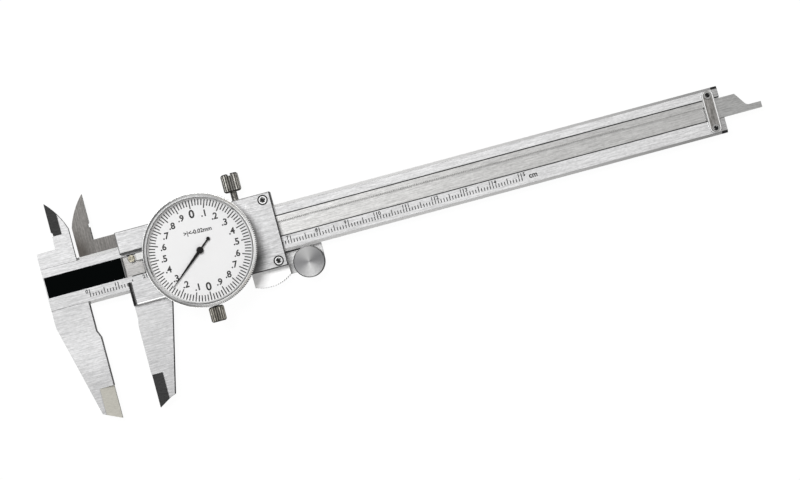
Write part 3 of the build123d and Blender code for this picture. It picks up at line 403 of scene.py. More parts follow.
def distance(first, second, centre):
    """How far the point is from an axis, measured across it."""
    one = first - centre[0]
    other = second - centre[1]
    return (one * one + other * other) ** 0.5


print("masks ready")

# %% Ground steel
streak_grain = Vector((7.0, 0.32, 0.32)) * MM
scratch_grain = Vector((3.0, 0.05, 0.05)) * MM
blotch_grain = Vector((22.0, 9.0, 9.0)) * MM
speck_grain = Vector((1.1, 0.4, 0.4)) * MM
scratch_depth = 0.004 * MM
streak_strength = 2.2
speck_strength = 1.2
streak_contrast = 0.22
blotch_roughness = 0.06


def along(grain, axis):
    """A grain that runs along X, turned to run along another axis."""
    longest, fine, _ = grain
    return tuple(longest if name == axis else fine for name in "xyz")


def surface(tree, sockets):
    """The shader with these sockets, and the material's output."""
    shader = tree.add("ShaderNodeBsdfPrincipled", {}, sockets)
    tree.add("ShaderNodeOutputMaterial", {}, {"Surface": shader})


def steel(colour, roughness, normal):
    """The surface of a metal."""
    sockets = {"Base Color": colour, "Metallic": 1.0, "Roughness": roughness, "Normal": normal}
    surface(colour.tree, sockets)


def shaded(tone, change):
    """A colour made lighter or darker by a share."""
    return tuple(part * (1 + change) for part in tone)


def brushed(point, axis):
    """Streaks and specks from about 0 to 1 that the eye sees, and a normal for the scratches."""
    streaks = noise(point, along(streak_grain, axis), 3.0)
    specks = noise(point, along(speck_grain, axis), 1.0)
    scratches = noise(point, along(scratch_grain, axis))
    visible = (streaks - 0.5) * streak_strength + (specks - 0.5) * speck_strength + 0.5
    return visible, dented(scratches, scratch_depth)


def blotchy(point, roughness):
    """A roughness that changes a little from one patch to the next."""
    return roughness + noise(point, blotch_grain) * blotch_roughness


def tones(visible, tone, contrast=streak_contrast):
    """A colour, lighter and darker along its streaks or clouds."""
    return mix(visible, shaded(tone, -contrast), shaded(tone, contrast))


def ground_steel(name, tone, roughness, contrast):
    """Steel ground along the beam."""
    material, point, *_ = new_finish(name)
    visible, normal = brushed(point, "x")
    steel(tones(visible, tone, contrast), blotchy(point, roughness), normal)
    return material


print("streaks %.1f mm long and %.2f mm apart" % (streak_grain.x / MM, streak_grain.y / MM))

# %% [markdown]
# The beam is one piece of steel with several grounds. Its two rails and the jaws are fine, and a
# painted highlight makes them paler towards the right and round the outside jaws. The groove is
# polished, so it mirrors one part of the sweep and darkens to the right. The chamfers and the jaw
# facets carry painted reflections, the groove's floor right of the dial a painted highlight, and
# the groove under the slider's window and every border painted shade, which is why each border is
# a thin dark line. One material can hold all of this: masks made from the coordinates say where
# each ground lies, and the colours are mixed by them, so no mesh has to be cut up.

# %% Painted shade and grounds
steel_tone = (0.42, 0.42, 0.423)
# Painted highlight: the paler steel of the rails and jaws towards the right and round the outside jaws.
painted_sheen_steel = (0.64, 0.64, 0.645)
groove_tone = (0.52, 0.517, 0.51)
# Painted shade: the groove's tone under the slider's window.
window_shade_tone = (0.30, 0.295, 0.29)
# Painted shade: the dark tone of the inside jaw's facet and the moving jaw's tip facet.
shaded_facet_tone = (0.085, 0.085, 0.085)
# Painted shade: the tone, share and reach of the dark lines along borders and seams.
painted_shade_tone = (0.03, 0.03, 0.03)
painted_shade_share = 0.95
border_shade_reach = 0.27 * MM
rail_roughness = 0.44
groove_roughness = 0.27
sliver = 0.05 * MM
tip_start = 36.4 * MM
jaw_top = beam_top - 0.15 * MM
groove_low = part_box("depth_rod")[0].y
groove_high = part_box("rack")[1].y


def darkened(colour, mask):
    """A colour with painted shade where the mask is 1."""
    return mix((mask * painted_shade_share).at_most(1), colour, painted_shade_tone)


def groove_colour(x, visible):
    """The groove and what lies in it, with painted shade under the slider's window."""
    in_window = x < dial_centre.x
    return mix(in_window, tones(visible, groove_tone), tones(visible, window_shade_tone))


def groove_borders(y):
    """2 on the groove's two borders, falling to 0 beside them."""
    return (near(y, groove_low, border_shade_reach) + near(y, groove_high, border_shade_reach)) * 2


def jaw_tip(level, z):
    """1 on the slope at an outside jaw's tip, and 0 elsewhere."""
    return (level < -tip_start) * (z < jaw_top - sliver)


print("rails %.2f rough, groove %.2f rough" % (rail_roughness, groove_roughness))

# %% Beam
# Painted highlight: the groove's floor right of the dial, near white where it lies in shade.
lit_groove_floor_tone = (0.95, 0.95, 0.94)
# Painted reflection: the chamfers, near white at the left and greyer towards the right.
chamfer_highlight = (0.98, 0.98, 0.98)
far_chamfer_highlight = (0.52, 0.52, 0.52)
end_tone = (0.36, 0.36, 0.36)
end_contrast = 0.3
# Painted reflection: the warm grey of the fixed jaw's tip facet.
warm_facet_reflection = (0.60, 0.59, 0.545)
facet_contrast = 0.06
# The painted highlight grows from the first place to the second along the beam, and round this level.
fade_start = -70 * MM
fade_end = 100 * MM
bright_level = -23 * MM
bright_reach = 13 * MM
bright_share = 0.42
groove_half = 5 * MM
groove_wall_top = beam_top - 1 * MM
groove_wall_foot = beam_top - 3 * MM
groove_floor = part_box("rack")[0].z + 0.1 * MM
groove_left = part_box("rack")[0].x
label_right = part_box("groove_label")[1].x
label_gap_share = 0.8
end_plate_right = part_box("end_clamp_plate")[1].x - 0.2 * MM
chamfer_top = beam_top - 0.04 * MM
chamfer_start = 7.1 * MM
chamfer_end = 8.1 * MM
chamfer_left = measuring_face - 0.2 * MM
chamfer_roughness = 0.2
tip_roughness = 0.3
inside_facet_start = 16.9 * MM


def beam_finish():
    """The ruled beam: painted highlights and reflections, a polished groove and painted shade on its borders.
    """
    material, point, x, y, z = new_finish("beam_ground_steel")
    visible, normal = brushed(point, "x")
    level = y - mid_line
    far_out = level.size()
    groove = (z < groove_wall_top) * (far_out < groove_half)
    chamfers = inside(far_out, chamfer_start, chamfer_end) * (z < chamfer_top) * (x > chamfer_left)
    inside_facet = (level > inside_facet_start) * (z < jaw_top - sliver)
    tip = jaw_tip(level, z)
    far = ramp(x, fade_start, fade_end)
    # Painted highlight: paler towards the right and round the outside jaws.
    pale = far + near(level, bright_level, bright_reach) * bright_share
    colour = mix(pale, tones(visible, steel_tone), tones(visible, painted_sheen_steel))
    colour = mix(x > end_plate_right, colour, tones(visible, end_tone, end_contrast))
    colour = mix(groove, colour, groove_colour(x, visible))
    # Painted highlight on the groove's floor right of the dial.
    lit_groove_bottom = groove * (x > dial_centre.x) * (z < groove_floor)
    colour = mix(lit_groove_bottom, colour, lit_groove_floor_tone)
    # Painted reflection on the chamfers.
    colour = mix(chamfers, colour, mix(far**3, chamfer_highlight, far_chamfer_highlight))
    # Painted shade on the inside jaw's facet.
    colour = mix(inside_facet, colour, tones(visible, shaded_facet_tone))
    # Painted reflection on the fixed jaw's tip facet.
    colour = mix(tip, colour, tones(visible, warm_facet_reflection, facet_contrast))
    # Painted shade along the groove's borders, on the chamfers past the end plate and beside the label.
    borders = groove_borders(y) * (x > groove_left) * (z > groove_wall_foot)
    under_plate = chamfers * (x > end_plate_right)
    label_gap = inside(x, label_right, groove_left + 2 * sliver) * inside(y, groove_low, groove_high)
    label_gap = label_gap * (1 - groove) * label_gap_share
    colour = darkened(colour, borders + under_plate + label_gap)
    roughness = rail_roughness - groove * (rail_roughness - groove_roughness)
    roughness = roughness + chamfers * chamfer_roughness + tip * tip_roughness
    steel(colour, blotchy(point, roughness), normal)
    return material


print("chamfers from %.1f to %.1f mm from the mid line" % (chamfer_start / MM, chamfer_end / MM))

# %% Rod and rack
rod_tone = (0.42, 0.42, 0.415)
end_plate_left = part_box("end_clamp_plate")[0].x


def strip_finish():
    """The rod and the rack in the groove, polished, with painted shade along the groove's borders."""
    material, point, x, y, z = new_finish("strip_ground_steel")
    visible, normal = brushed(point, "x")
    in_groove = x < end_plate_left
    colour = mix(in_groove, tones(visible, rod_tone), groove_colour(x, visible))
    # Painted shade along the groove's borders.
    colour = darkened(colour, groove_borders(y) * in_groove)
    steel(colour, blotchy(point, groove_roughness), normal)
    return material


print("the groove ends at x = %.2f mm" % (end_plate_left / MM))

# %% [markdown]
# The slider is ground along the beam too, but its inside jaw and the block that it stands on
# were ground across, and painted shade makes them dark. The thumb rest carries a painted highlight
# and is a little rougher, the bracket right of the plate a painted highlight too, and the jaw's
# sides and the seams painted shade. The plate on its front has a bevel in painted shade, where the
# scale is read, and painted shade where the dial's rim shades it at the lower right. A second set
# of streaks that runs along Y takes over where a mask says so.

# %% Slider
plate_low, plate_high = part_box("front_plate")
jaw_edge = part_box("slider_frame")[0].x
# Painted shade: the dark tone of the inside jaw and its block, ground across.
cross_ground_shade = (0.125, 0.12, 0.115)
dark_contrast = 0.33
# Painted highlight: the thumb rest's paler tone.
thumb_rest_sheen = (0.80, 0.80, 0.80)
thumb_contrast = 0.05
thumb_roughness = 0.1
# Painted highlight: the bracket's paler tone.
bracket_sheen = (0.52, 0.52, 0.52)
# Painted shade: the sides and slopes of the outside jaw.
jaw_side_shade = (0.12, 0.12, 0.12)
stain_tone = (0.045, 0.04, 0.035)
stain_width = 5.5 * MM
stain_level = 9 * MM
stain_strength = 1.3
stain_most = 0.8
block_foot = 8 * MM
jaw_root = 8.3 * MM
seam_foot = 8.6 * MM
rest_start = 12 * MM


def slider_finish():
    """The slider's body: a thumb rest with a painted highlight, and an inside jaw ground across in painted
    shade.
    """
    material, point, x, y, z = new_finish("slider_ground_steel")
    lengthways, normal_lengthways = brushed(point, "x")
    crossways, normal_crossways = brushed(point, "y")
    level = y - mid_line
    block = (level > block_foot) * (x < plate_low.x + sliver)
    across = block * (z < middle("main_beam").z)
    visible = lengthways + across * (crossways - lengthways)
    vectors = {0: across, 4: normal_lengthways, 5: normal_crossways}
    normal = x.tree.add("ShaderNodeMix", {"data_type": "VECTOR"}, vectors, 1)
    behind_plate = z < plate_low.z
    rest = (y < plate_low.y + sliver) * (x > dial_centre.x + rest_start) * behind_plate
    bracket = (x > plate_high.x - 2 * sliver) * behind_plate
    seam = bracket * inside(x, plate_high.x, middle("thumb_roller").x) * (level > -seam_foot)
    jaw_side = (level < -jaw_root) * (x < dial_centre.x) * (z < jaw_top - 2 * sliver)
    stain = near(x, jaw_edge, stain_width) * near(level, stain_level, stain_level) * across
    colour = tones(visible, steel_tone)
    # Painted shade on the inside jaw and its block.
    colour = mix(across, colour, tones(crossways, cross_ground_shade, dark_contrast))
    colour = mix((stain * stain_strength).at_most(stain_most), colour, stain_tone)
    # Painted highlight on the thumb rest.
    colour = mix(rest, colour, tones(visible, thumb_rest_sheen, thumb_contrast))
    # Painted highlight on the bracket.
    colour = mix(bracket, colour, tones(visible, bracket_sheen))
    # Painted shade in the seam beside the bracket.
    colour = darkened(colour, seam)
    # Painted shade on the outside jaw's sides.
    colour = mix(jaw_side, colour, jaw_side_shade)
    # Painted shade on the moving jaw's tip facet.
    colour = mix(jaw_tip(level, z), colour, tones(visible, shaded_facet_tone))
    steel(colour, rail_roughness + rest * thumb_roughness, normal)
    return material


print("thumb rest from x = %.1f mm" % ((dial_centre.x + rest_start) / MM))

# %% Front plate
# Painted shade: the reading bevel's dark grey, mottled by fine spots.
bevel_width = 1.5 * MM
bevel_shade_dark = 0.035
bevel_shade_grey = 0.12
spot_contrast = 3
fine_grain = (0.5 * MM,) * 3
window_half = 4.6 * MM
# Painted shade: the band along the window's upper edge, its length, and the seams' width.
window_edge_low = 4.9 * MM
window_edge_high = 5.65 * MM
window_length = 16 * MM
seam_width = 0.2 * MM
# Painted highlight: a pale line along the plate's lower edge, left of the dial.
highlight_line_tone = (0.90, 0.90, 0.90)
highlight_line_width = 0.5 * MM
plate_contrast = 0.26
bezel_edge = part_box("bezel")[1].x - dial_centre.x
# Painted shade beside the dial's rim, at its lower right.
shade_top = dial_centre.y - 3 * MM
shade_reach = 4.5 * MM
shade_share = 0.75


def plate_finish():
    """The front plate: painted shade on its bevel, seams and beside the dial, a painted highlight below."""
    material, point, x, y, z = new_finish("front_plate_ground_steel")
    visible, normal = brushed(point, "x")
    level = y - mid_line
    right_half = x > dial_centre.x
    bevel = (x < plate_low.x + bevel_width) * (level < -window_half)
    window_edge = inside(level, window_edge_low, window_edge_high) * (x < plate_low.x + window_length)
    seams = (x > plate_high.x - seam_width) + (y < plate_low.y + seam_width) * right_half
    highlight_line = (y < plate_low.y + highlight_line_width) * (x < dial_centre.x)
    beside_dial = near(distance(x, y, dial_centre), bezel_edge, shade_reach) * right_half
    shade = beside_dial * ramp(y, shade_top, shade_top - shade_reach) * shade_share
    face = tones(visible, steel_tone, plate_contrast)
    # Painted highlight on the lower edge, left of the dial.
    colour = mix(highlight_line, face, highlight_line_tone)
    # Painted shade along the window's edge, the right and lower seams and beside the dial.
    colour = darkened(colour, window_edge + seams + shade)
    # Painted shade on the reading bevel.
    spots = noise(point, fine_grain, 3.0)
    bevel_shade = mix((spots - 0.5) * spot_contrast + 0.5, bevel_shade_dark, bevel_shade_grey)
    colour = mix(bevel, colour, bevel_shade)
    steel(colour, blotchy(point, rail_roughness), normal)
    return material


print("reading bevel %.2f mm wide" % (bevel_width / MM))

# %% [markdown]
# The small plate over the beam's end is darker than the steel round it, and a painted highlight
# runs along its edge. The highlight keeps an even width because it is measured from the plate's own
# rounded outline: past the middle of each corner's arc, the distance is taken from that middle.

# %% Clamp plate
clamp_plate_dark = (0.17, 0.165, 0.155)
clamp_plate_pale = (0.33, 0.32, 0.31)
clamp_plate_streaks = 1.5
clamp_plate_roughness = 0.36
clamp_streak_roughness = 0.08
# Painted highlight: the tone and width of the bright line round the plate's edge.
edge_highlight_tone = (0.95, 0.95, 0.95)
edge_highlight_width = 0.42 * MM
end_plate_corner = 1.45 * MM


def clamp_plate_finish():
    """The end plate: dark, ground across the beam, with a painted highlight on its edge all round."""
    material, point, x, y, z = new_finish("clamp_plate_steel")
    visible, normal = brushed(point, "y")
    low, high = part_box("end_clamp_plate")
    plate = middle("end_clamp_plate")
    past_x = ((x - plate.x).size() - ((high.x - low.x) / 2 - end_plate_corner)).at_least(0)
    past_y = ((y - plate.y).size() - ((high.y - low.y) / 2 - end_plate_corner)).at_least(0)
    # Painted highlight along the plate's rounded edge.
    edge_highlight = distance(past_x, past_y, (0, 0)) > end_plate_corner - edge_highlight_width
    streaks = (visible - 0.5) * clamp_plate_streaks + 0.5
    colour = mix(streaks, clamp_plate_dark, clamp_plate_pale)
    colour = mix(edge_highlight, colour, edge_highlight_tone)
    steel(colour, clamp_plate_roughness + visible * clamp_streak_roughness, normal)
    return material


# The width of the painted highlight on the edge.
print("worn edge %.2f mm wide" % (edge_highlight_width / MM))

# %% [markdown]
# ## Turned parts
#
# The roller, the bezel and the bushes come off a lathe, whose tool leaves rings round the axis.
# Rings are noise read at the distance from the axis and along it, so each part gets its own
# centre. They are finer than a pixel here: they dull the metal and dent it a little.

# %% Rings round an axis
ring_width = 0.06 * MM
ring_depth = 0.006 * MM
ring_contrast = 0.08
ring_roughness = 0.08


def rings(radius, height):
    """Noise that only changes with the distance from the axis and along it."""
    tree = radius.tree
    place = vector(tree, radius / ring_width, height / ring_width)
    return tree.add("ShaderNodeTexNoise", {}, {"Vector": place, "Scale": 1.0, "Detail": 2.0}, "Fac")


def turned_metal(colour, roughness, marks):
    """Metal that the rings make rougher and dent."""
    steel(colour, roughness + marks * ring_roughness, dented(marks, ring_depth))


def turned_steel(name, centre, tone, roughness):
    """Metal turned round an upright axis."""
    material, point, x, y, z = new_finish(name)
    marks = rings(distance(x, y, centre), z)
    turned_metal(tones(marks, tone, ring_contrast), roughness, marks)
    return material


print("tool marks every %.2f mm" % (ring_width / MM))

# %% [markdown]
# The rim's flat face and its slope mirror other parts of the sweep, and a painted reflection
# turns both grey towards the upper left. How far a place leans that way is the cosine of its angle
# from there, and each change runs between two such cosines. The painted shade in the knurl repeats
# with the ridges, and a line of painted shade runs round the bore.

# %% Bezel
# Painted reflection: the rim's lit and grey tones; the grey side faces the upper left.
bright_chrome = (0.74, 0.74, 0.735)
grey_chrome = (0.32, 0.32, 0.32)
bevel_chrome = (0.98, 0.98, 0.97)
grey_bevel = (0.65, 0.65, 0.65)
chrome_roughness = 0.26
# Painted shadow: the black in the knurl, round the bore and round the screw heads.
painted_shadow_black = (0.02, 0.02, 0.02)
knurl_ridges = 180
knurl_depth = 0.38 * MM
flat_top = top("bezel") - 0.03 * MM
bore_line = bezel_edge - 1.1 * MM
bore_share = 0.85
grey_side = math.radians(150)
face_greys = (-0.45, -0.05)
slope_greys = (0.6, 0.85)
knurl_darkens = (-0.2, -0.7)
bore_darkens = (0.267, -0.4)


def bezel_finish():
    """A chromed rim, greyer towards its upper left by painted reflection, with painted shade in bore and
    knurl.
    """
    material, point, x, y, z = new_finish("bezel_satin_chrome")
    radius = distance(x, y, dial_centre)
    across = x - dial_centre.x
    up = y - dial_centre.y
    lean = (across * math.cos(grey_side) + up * math.sin(grey_side)) / radius
    # Painted reflection: greyer where the rim leans to the upper left.
    face = mix(ramp(lean, *face_greys), bright_chrome, grey_chrome)
    slope = mix(ramp(lean, *slope_greys), bevel_chrome, grey_bevel)
    # Painted shade in the knurl's valleys and along the bore.
    ridges = up.math("COSINE", up.math("ARCTAN2", up, across) * knurl_ridges)
    knurl = (ridges > 0.0) * (radius > bezel_edge - knurl_depth) * ramp(lean, *knurl_darkens)
    bore = (radius < bore_line) * ramp(lean, *bore_darkens) * bore_share
    colour = mix(z > flat_top, slope, face)
    colour = mix((knurl + bore).at_most(1), colour, painted_shadow_black)
    turned_metal(colour, chrome_roughness, rings(radius, z))
    return material


print("bezel edge at radius %.2f mm" % (bezel_edge / MM))

# %% [markdown]
# A turned face spreads a light into two wedges that meet at its centre. The roller's are mixed
# from two greys by the direction from the centre, because rings this fine can't make them at
# the picture's size.

# %% Roller
roller_dark = (0.21, 0.21, 0.215)
roller_bright = (0.45, 0.45, 0.45)
roller_shade = (0.05, 0.05, 0.05)
roller_roughness = 0.34
wedge_noise = 0.3
right_shade = 0.45
low_shade = 0.4
tiny_area = 0.0001 * MM * MM


def roller_finish():
    """A coned face with fine rings, two painted highlight wedges and painted shade at its right and foot."""
    material, point, x, y, z = new_finish("turned_roller")
    centre = middle("thumb_roller")
    radius = distance(x, y, centre)
    up = y - centre.y
    marks = rings(radius, z)
    wedge = up * up / (radius * radius + tiny_area) + (marks - 0.5) * wedge_noise
    right = ((x - centre.x) / radius).at_least(0)
    low = (up / radius * -1).at_least(0)
    # Painted highlight in two wedges, and painted shade at the right and at the foot.
    colour = mix(wedge.held(), roller_dark, roller_bright)
    colour = mix(right * right_shade + low**2 * low_shade, colour, roller_shade)
    turned_metal(colour, roller_roughness, marks)
    return material


print("roller wedges from", roller_dark, "to", roller_bright)

# %% [markdown]
# The knobs and screws are handled most and cleaned least. Clouds of light and dark make their
# worn plating. The knobs are darker in the valleys of the knurl and on the shank, and each screw
# has painted shade in its recess and in the seam round its head.

# %% Knurled knobs
knob_tone = (0.46, 0.45, 0.42)
clamp_knob_tone = (0.46, 0.44, 0.39)
knob_hollow_tone = (0.02, 0.019, 0.017)
knob_contrast = 0.6
knob_grain = (0.45 * MM, 1.2 * MM, 0.45 * MM)
knob_roughness = 0.36
cloud_roughness = 0.14
shank_radius = 1.4 * MM
shank_share = 0.45
valley_foot = 0.5 * MM
valley_top = 0.14 * MM
valley_share = 0.8


def knob_finish(name, node, tone):
    """Dark nickel on a knob whose axis runs along Y, darker between the ridges and on the shank."""
    material, point, x, y, z = new_finish(name)
    axis = middle(node)
    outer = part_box(node)[1].x - axis.x
    radius = distance(x, z, (axis.x, axis.z))
    valley = inside(radius, outer - valley_foot, outer - valley_top)
    hollows = valley * valley_share + (radius < shank_radius) * shank_share
    cloud = noise(point, knob_grain)
    colour = tones((cloud - 0.5) * 2 + 0.5, tone, knob_contrast)
    colour = mix(hollows.at_most(1), colour, knob_hollow_tone)
    steel(colour, knob_roughness + cloud * cloud_roughness, dented(cloud, ring_depth))
    return material


print("knob tone:", knob_tone)

# %% Screw heads
bright_head = (0.62, 0.62, 0.62)
dull_head = (0.36, 0.36, 0.355)
head_contrast = 0.3
head_roughness = 0.3
head_grain_roughness = 0.1
grime_roughness = 0.2
grime_ends = (0.375, 0.625)
plate_head = 1.7 * MM
plate_recess = 0.95 * MM
end_head = 1.35 * MM
end_recess = 0.8 * MM
rim_reach = 0.55 * MM
rim_strength = 2.5
recess_grain = 0.42
recess_core = 0.55
brass_grain = (0.45 * MM,) * 3


def screw_finish(name, centre, head, recess, face):
    """Heads in two mirrored rows: a ring of painted shadow, a bright ring and a recess in painted shade."""
    material, point, x, y, z = new_finish(name)
    radius = distance(x, (y - mid_line).size(), centre)
    grain = noise(point, fine_grain, 3.0)
    # Painted shadow round each head and painted shade in its recess.
    rim = near(radius, head, rim_reach) * rim_strength
    hole = (radius < recess) * ((grain > recess_grain) + (radius < recess * recess_core))
    colour = tones(grain, face, head_contrast)
    colour = mix((rim + hole).at_most(1), colour, painted_shadow_black)
    steel(colour, head_roughness + grain * head_grain_roughness, dented(grain, ring_depth))
    return material


def mottled(name, dark, pale):
    """Worn metal with grime in its hollows."""
    material, point, *_ = new_finish(name)
    grain = noise(point, brass_grain, 3.0)
    colour = mix(ramp(grain, *grime_ends), dark, pale)
    steel(colour, head_roughness + grain * grime_roughness, dented(grain, ring_depth))
    return material


def corner_screw(node, head):
    """The centre of a group's upper right screw: its place along X, and its height over the middle."""
    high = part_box(node)[1]
    return high.x - head, high.y - head - mid_line


print("screw heads %.1f and %.2f mm in radius" % (plate_head / MM, end_head / MM))

# %% [markdown]
# ## Paint, film and clear cover
#
# The dial is matt white paint, the pointer black paint and the groove holds a black film. They
# are not metals: their colour comes from the paint, and the gloss hardly changes over them.
# The cover is clear, so its alpha is low where one looks straight through it and higher at a
# grazing angle, which is what a Layer Weight node gives.

# %% Paint and plastic
paint_depth = 0.002 * MM
paint_cloud = 0.06
crystal_tone = (0.9, 0.95, 0.95)
wipe_grain = (4.0 * MM, 1.0 * MM, 4.0 * MM)
crystal_opacity = 0.6
crystal_roughness = 0.03


def painted(name, colour, roughness, mottle, grain, gloss=0.5):
    """An even paint or plastic, a little lighter and darker from place to place."""
    material, point, *_ = new_finish(name)
    cloud = noise(point, (grain,) * 3, 4.0)
    sockets = {
        "Base Color": tones(cloud, colour, mottle),
        "Roughness": roughness + cloud * paint_cloud,
        "Specular IOR Level": gloss,
        "Normal": dented(cloud, paint_depth),
    }
    surface(point.tree, sockets)
    return material


def crystal_finish():
    """A clear cover that reflects more at a grazing angle."""
    material, point, *_ = new_finish("clear_crystal")
    edge = point.tree.add("ShaderNodeLayerWeight", {}, {"Blend": 0.5}, "Facing")
    wipe = noise(point, wipe_grain)
    sockets = {
        "Base Color": paint(crystal_tone),
        "Roughness": crystal_roughness + wipe * crystal_roughness,
        "Alpha": edge**4 * crystal_opacity,
    }
    surface(point.tree, sockets)
    return material


print("paints ready")

# %% [markdown]
# ## Dressing
#
# Each part of the frame comes with a slot for its material, so a finish is made once and put
# into the slots of every part that has it. Metals that only show inside the case get plain
# finishes of the same kinds.

# %% Give every part its finish
brass_tone = (0.62, 0.52, 0.32)
grimy_brass = (0.03, 0.027, 0.02)
worn_brass = (0.50, 0.47, 0.38)
screw_tone = (0.50, 0.50, 0.50)
holder_tone = (0.40, 0.40, 0.395)
case_tone = (0.58, 0.58, 0.58)
bridge_tone = (0.62, 0.62, 0.63)
arbor_tone = (0.6, 0.6, 0.6)


def dress(finish, *nodes):
    """Puts a finish on parts of the frame."""
    for name in nodes:
        for slot in frame["nodes"][name].material_slots:
            slot.material = finish


dress(beam_finish(), "main_beam")
dress(slider_finish(), "slider_frame")
dress(plate_finish(), "front_plate")
dress(strip_finish(), "depth_rod", "rack")
dress(clamp_plate_finish(), "end_clamp_plate")
dress(bezel_finish(), "bezel")
dress(knob_finish("lock_screw_nickel", "slider_lock_screw", knob_tone), "slider_lock_screw")
dress(knob_finish("clamp_screw_nickel", "bezel_clamp_screw", clamp_knob_tone), "bezel_clamp_screw")
dress(roller_finish(), "thumb_roller")
plate_screw = corner_screw("front_plate_screws", plate_head)
plate_steel = screw_finish("plate_screw_steel", plate_screw, plate_head, plate_recess, bright_head)
dress(plate_steel, "front_plate_screws")
end_screw = corner_screw("end_clamp_screws", end_head)
end_steel = screw_finish("end_screw_steel", end_screw, end_head * 2, end_recess, dull_head)
dress(end_steel, "end_clamp_screws")
dress(mottled("dull_brass", grimy_brass, worn_brass), "rack_screw")
dress(crystal_finish(), "crystal")

# Ground: a name, its tone, roughness and contrast, and the parts that get it.
ground_parts = [
    ("holder_steel", holder_tone, 0.35, 0.1, ["rod_holder", "rack_wiper"]),
    ("bridge_aluminium", bridge_tone, 0.4, 0.06, ["movement_bridge", "bridge_pillars"]),
    ("small_screw_steel", screw_tone, 0.3, 0.1, ["case_screws", "bridge_screws", "gib_screws", "rod_rivets"]),
    ("gib_bronze", brass_tone, 0.4, 0.1, ["gib_strip"]),
]
# Turned: a name, its axis, tone and roughness, and the parts that get it.
turned_parts = [
    ("turned_axle", middle("roller_axle"), screw_tone, 0.25, ["roller_axle"]),
    ("turned_case", dial_centre, case_tone, 0.35, ["dial_case"]),
    ("bush_brass", middle("gear_bushes"), brass_tone, 0.3, ["gear_bushes", "drive_wheel", "take_up_wheel"]),
    ("centre_bush_brass", dial_centre, brass_tone, 0.3, ["centre_bushes"]),
    ("arbor_steel", middle("rack_pinion"), arbor_tone, 0.2, ["rack_pinion", "take_up_spring"]),
    ("centre_arbor_steel", dial_centre, arbor_tone, 0.2, ["centre_arbor"]),
]
# Painted: a name, its colour, roughness, mottling, grain and gloss, and the parts that get it.
painted_parts = [
    ("dial_paint", (0.80, 0.80, 0.805), 0.5, 0.01, 6 * MM, 0.5, ["dial_face"]),
    ("pointer_paint", (0.006, 0.006, 0.006), 0.4, 0.2, 0.5 * MM, 0.1, ["pointer"]),
    ("spacer_plastic", (0.62, 0.62, 0.62), 0.45, 0.1, 0.5 * MM, 0.5, ["spacer_ring"]),
    ("label_film", (0.0008, 0.0014, 0.0014), 0.5, 0.3, 0.7 * MM, 0.01, ["groove_label"]),
]
tables = [(ground_steel, ground_parts), (turned_steel, turned_parts), (painted, painted_parts)]
for finish, rows in tables:
    for *values, nodes in rows:
        dress(finish(*values), *nodes)

finish_names = {slot.material.name for part in frame["nodes"].values() for slot in part.material_slots}
print("finishes on the frame:", len(finish_names))

# %% [markdown]
# ## Ruled scale
#
# The beam carries a centimetre scale: a short mark each millimetre, a longer one each five and
# the longest each ten. What repeats like this is made by Geometry Nodes: points along a line,
# a thin slab on each, stretched by where its number falls in ten. The zero mark stands where
# the slider's reading edge comes when the jaws are shut.

# %% A tree for marks
socket_kinds = {int: "Int", float: "Float", tuple: "Vector", bpy.types.Material: "Material"}


def marks_tree(name, values):
    """A Geometry Nodes tree with an input for each value, and what links to these inputs."""
    group = bpy.data.node_groups.new(name, "GeometryNodeTree")
    for socket_name, value in values.items():
        kind = "NodeSocket" + socket_kinds[type(value)]
        group.interface.new_socket(socket_name, in_out="INPUT", socket_type=kind)
    group.interface.new_socket("Geometry", in_out="OUTPUT", socket_type="NodeSocketGeometry")
    tree = Tree(group)
    inputs = group.nodes.new("NodeGroupInput")
    return tree, {socket_name: Value(tree, inputs.outputs[socket_name]) for socket_name in values}


def end_tree(tree, shapes, material):
    """Makes the instances real, gives them their material and ends the tree."""
    real = tree.add("GeometryNodeRealizeInstances", {}, {"Geometry": shapes})
    finished = tree.add("GeometryNodeSetMaterial", {}, {"Geometry": real, "Material": material})
    tree.add("NodeGroupOutput", {}, {"Geometry": finished})


def as_mesh(thing):
    """What an object's text or modifier makes, as a plain mesh."""
    bpy.context.view_layer.update()
    evaluated = thing.evaluated_get(bpy.context.evaluated_depsgraph_get())
    return bpy.data.meshes.new_from_object(evaluated)


def grown(name, tree, values, body):
    """Runs a tree, keeps its result as a plain mesh and lets it ride on a body."""
    piece = add_object(name, bpy.data.meshes.new(name))
    modifier = piece.modifiers.new(name, "NODES")
    modifier.node_group = tree.tree
    for item in tree.tree.interface.items_tree:
        if item.in_out == "INPUT":
            modifier[item.identifier] = values[item.name]
    mesh = as_mesh(piece)
    piece.modifiers.clear()
    piece.data = mesh
    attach(piece, body)
    return piece


def lay_slabs(tree, given, points, number, side, turn=0.0):
    """A slab to one side of each point and turned about it, longer each five and each ten."""
    short, fifth, tenth = given["Short"], given["Fifth"], given["Tenth"]
    on_fifth = (number % 5) < 0.5
    on_tenth = (number % 10) < 0.5
    length = short + (fifth - short) * on_fifth + (tenth - fifth) * on_tenth
    size = vector(tree, given["Width"], 1.0, given["Thickness"])
    slab = tree.add("GeometryNodeMeshCube", {}, {"Size": size}, "Mesh")
    moved = tree.add("GeometryNodeTransform", {}, {"Geometry": slab, "Translation": (0, side / 2, 0)})
    slabs = {
        "Points": points,
        "Instance": moved,
        "Rotation": vector(tree, z=turn),
        "Scale": vector(tree, 1.0, length, 1.0),
    }
    end_tree(tree, tree.add("GeometryNodeInstanceOnPoints", {}, slabs), given["Material"])


print("tree helpers for marks ready")

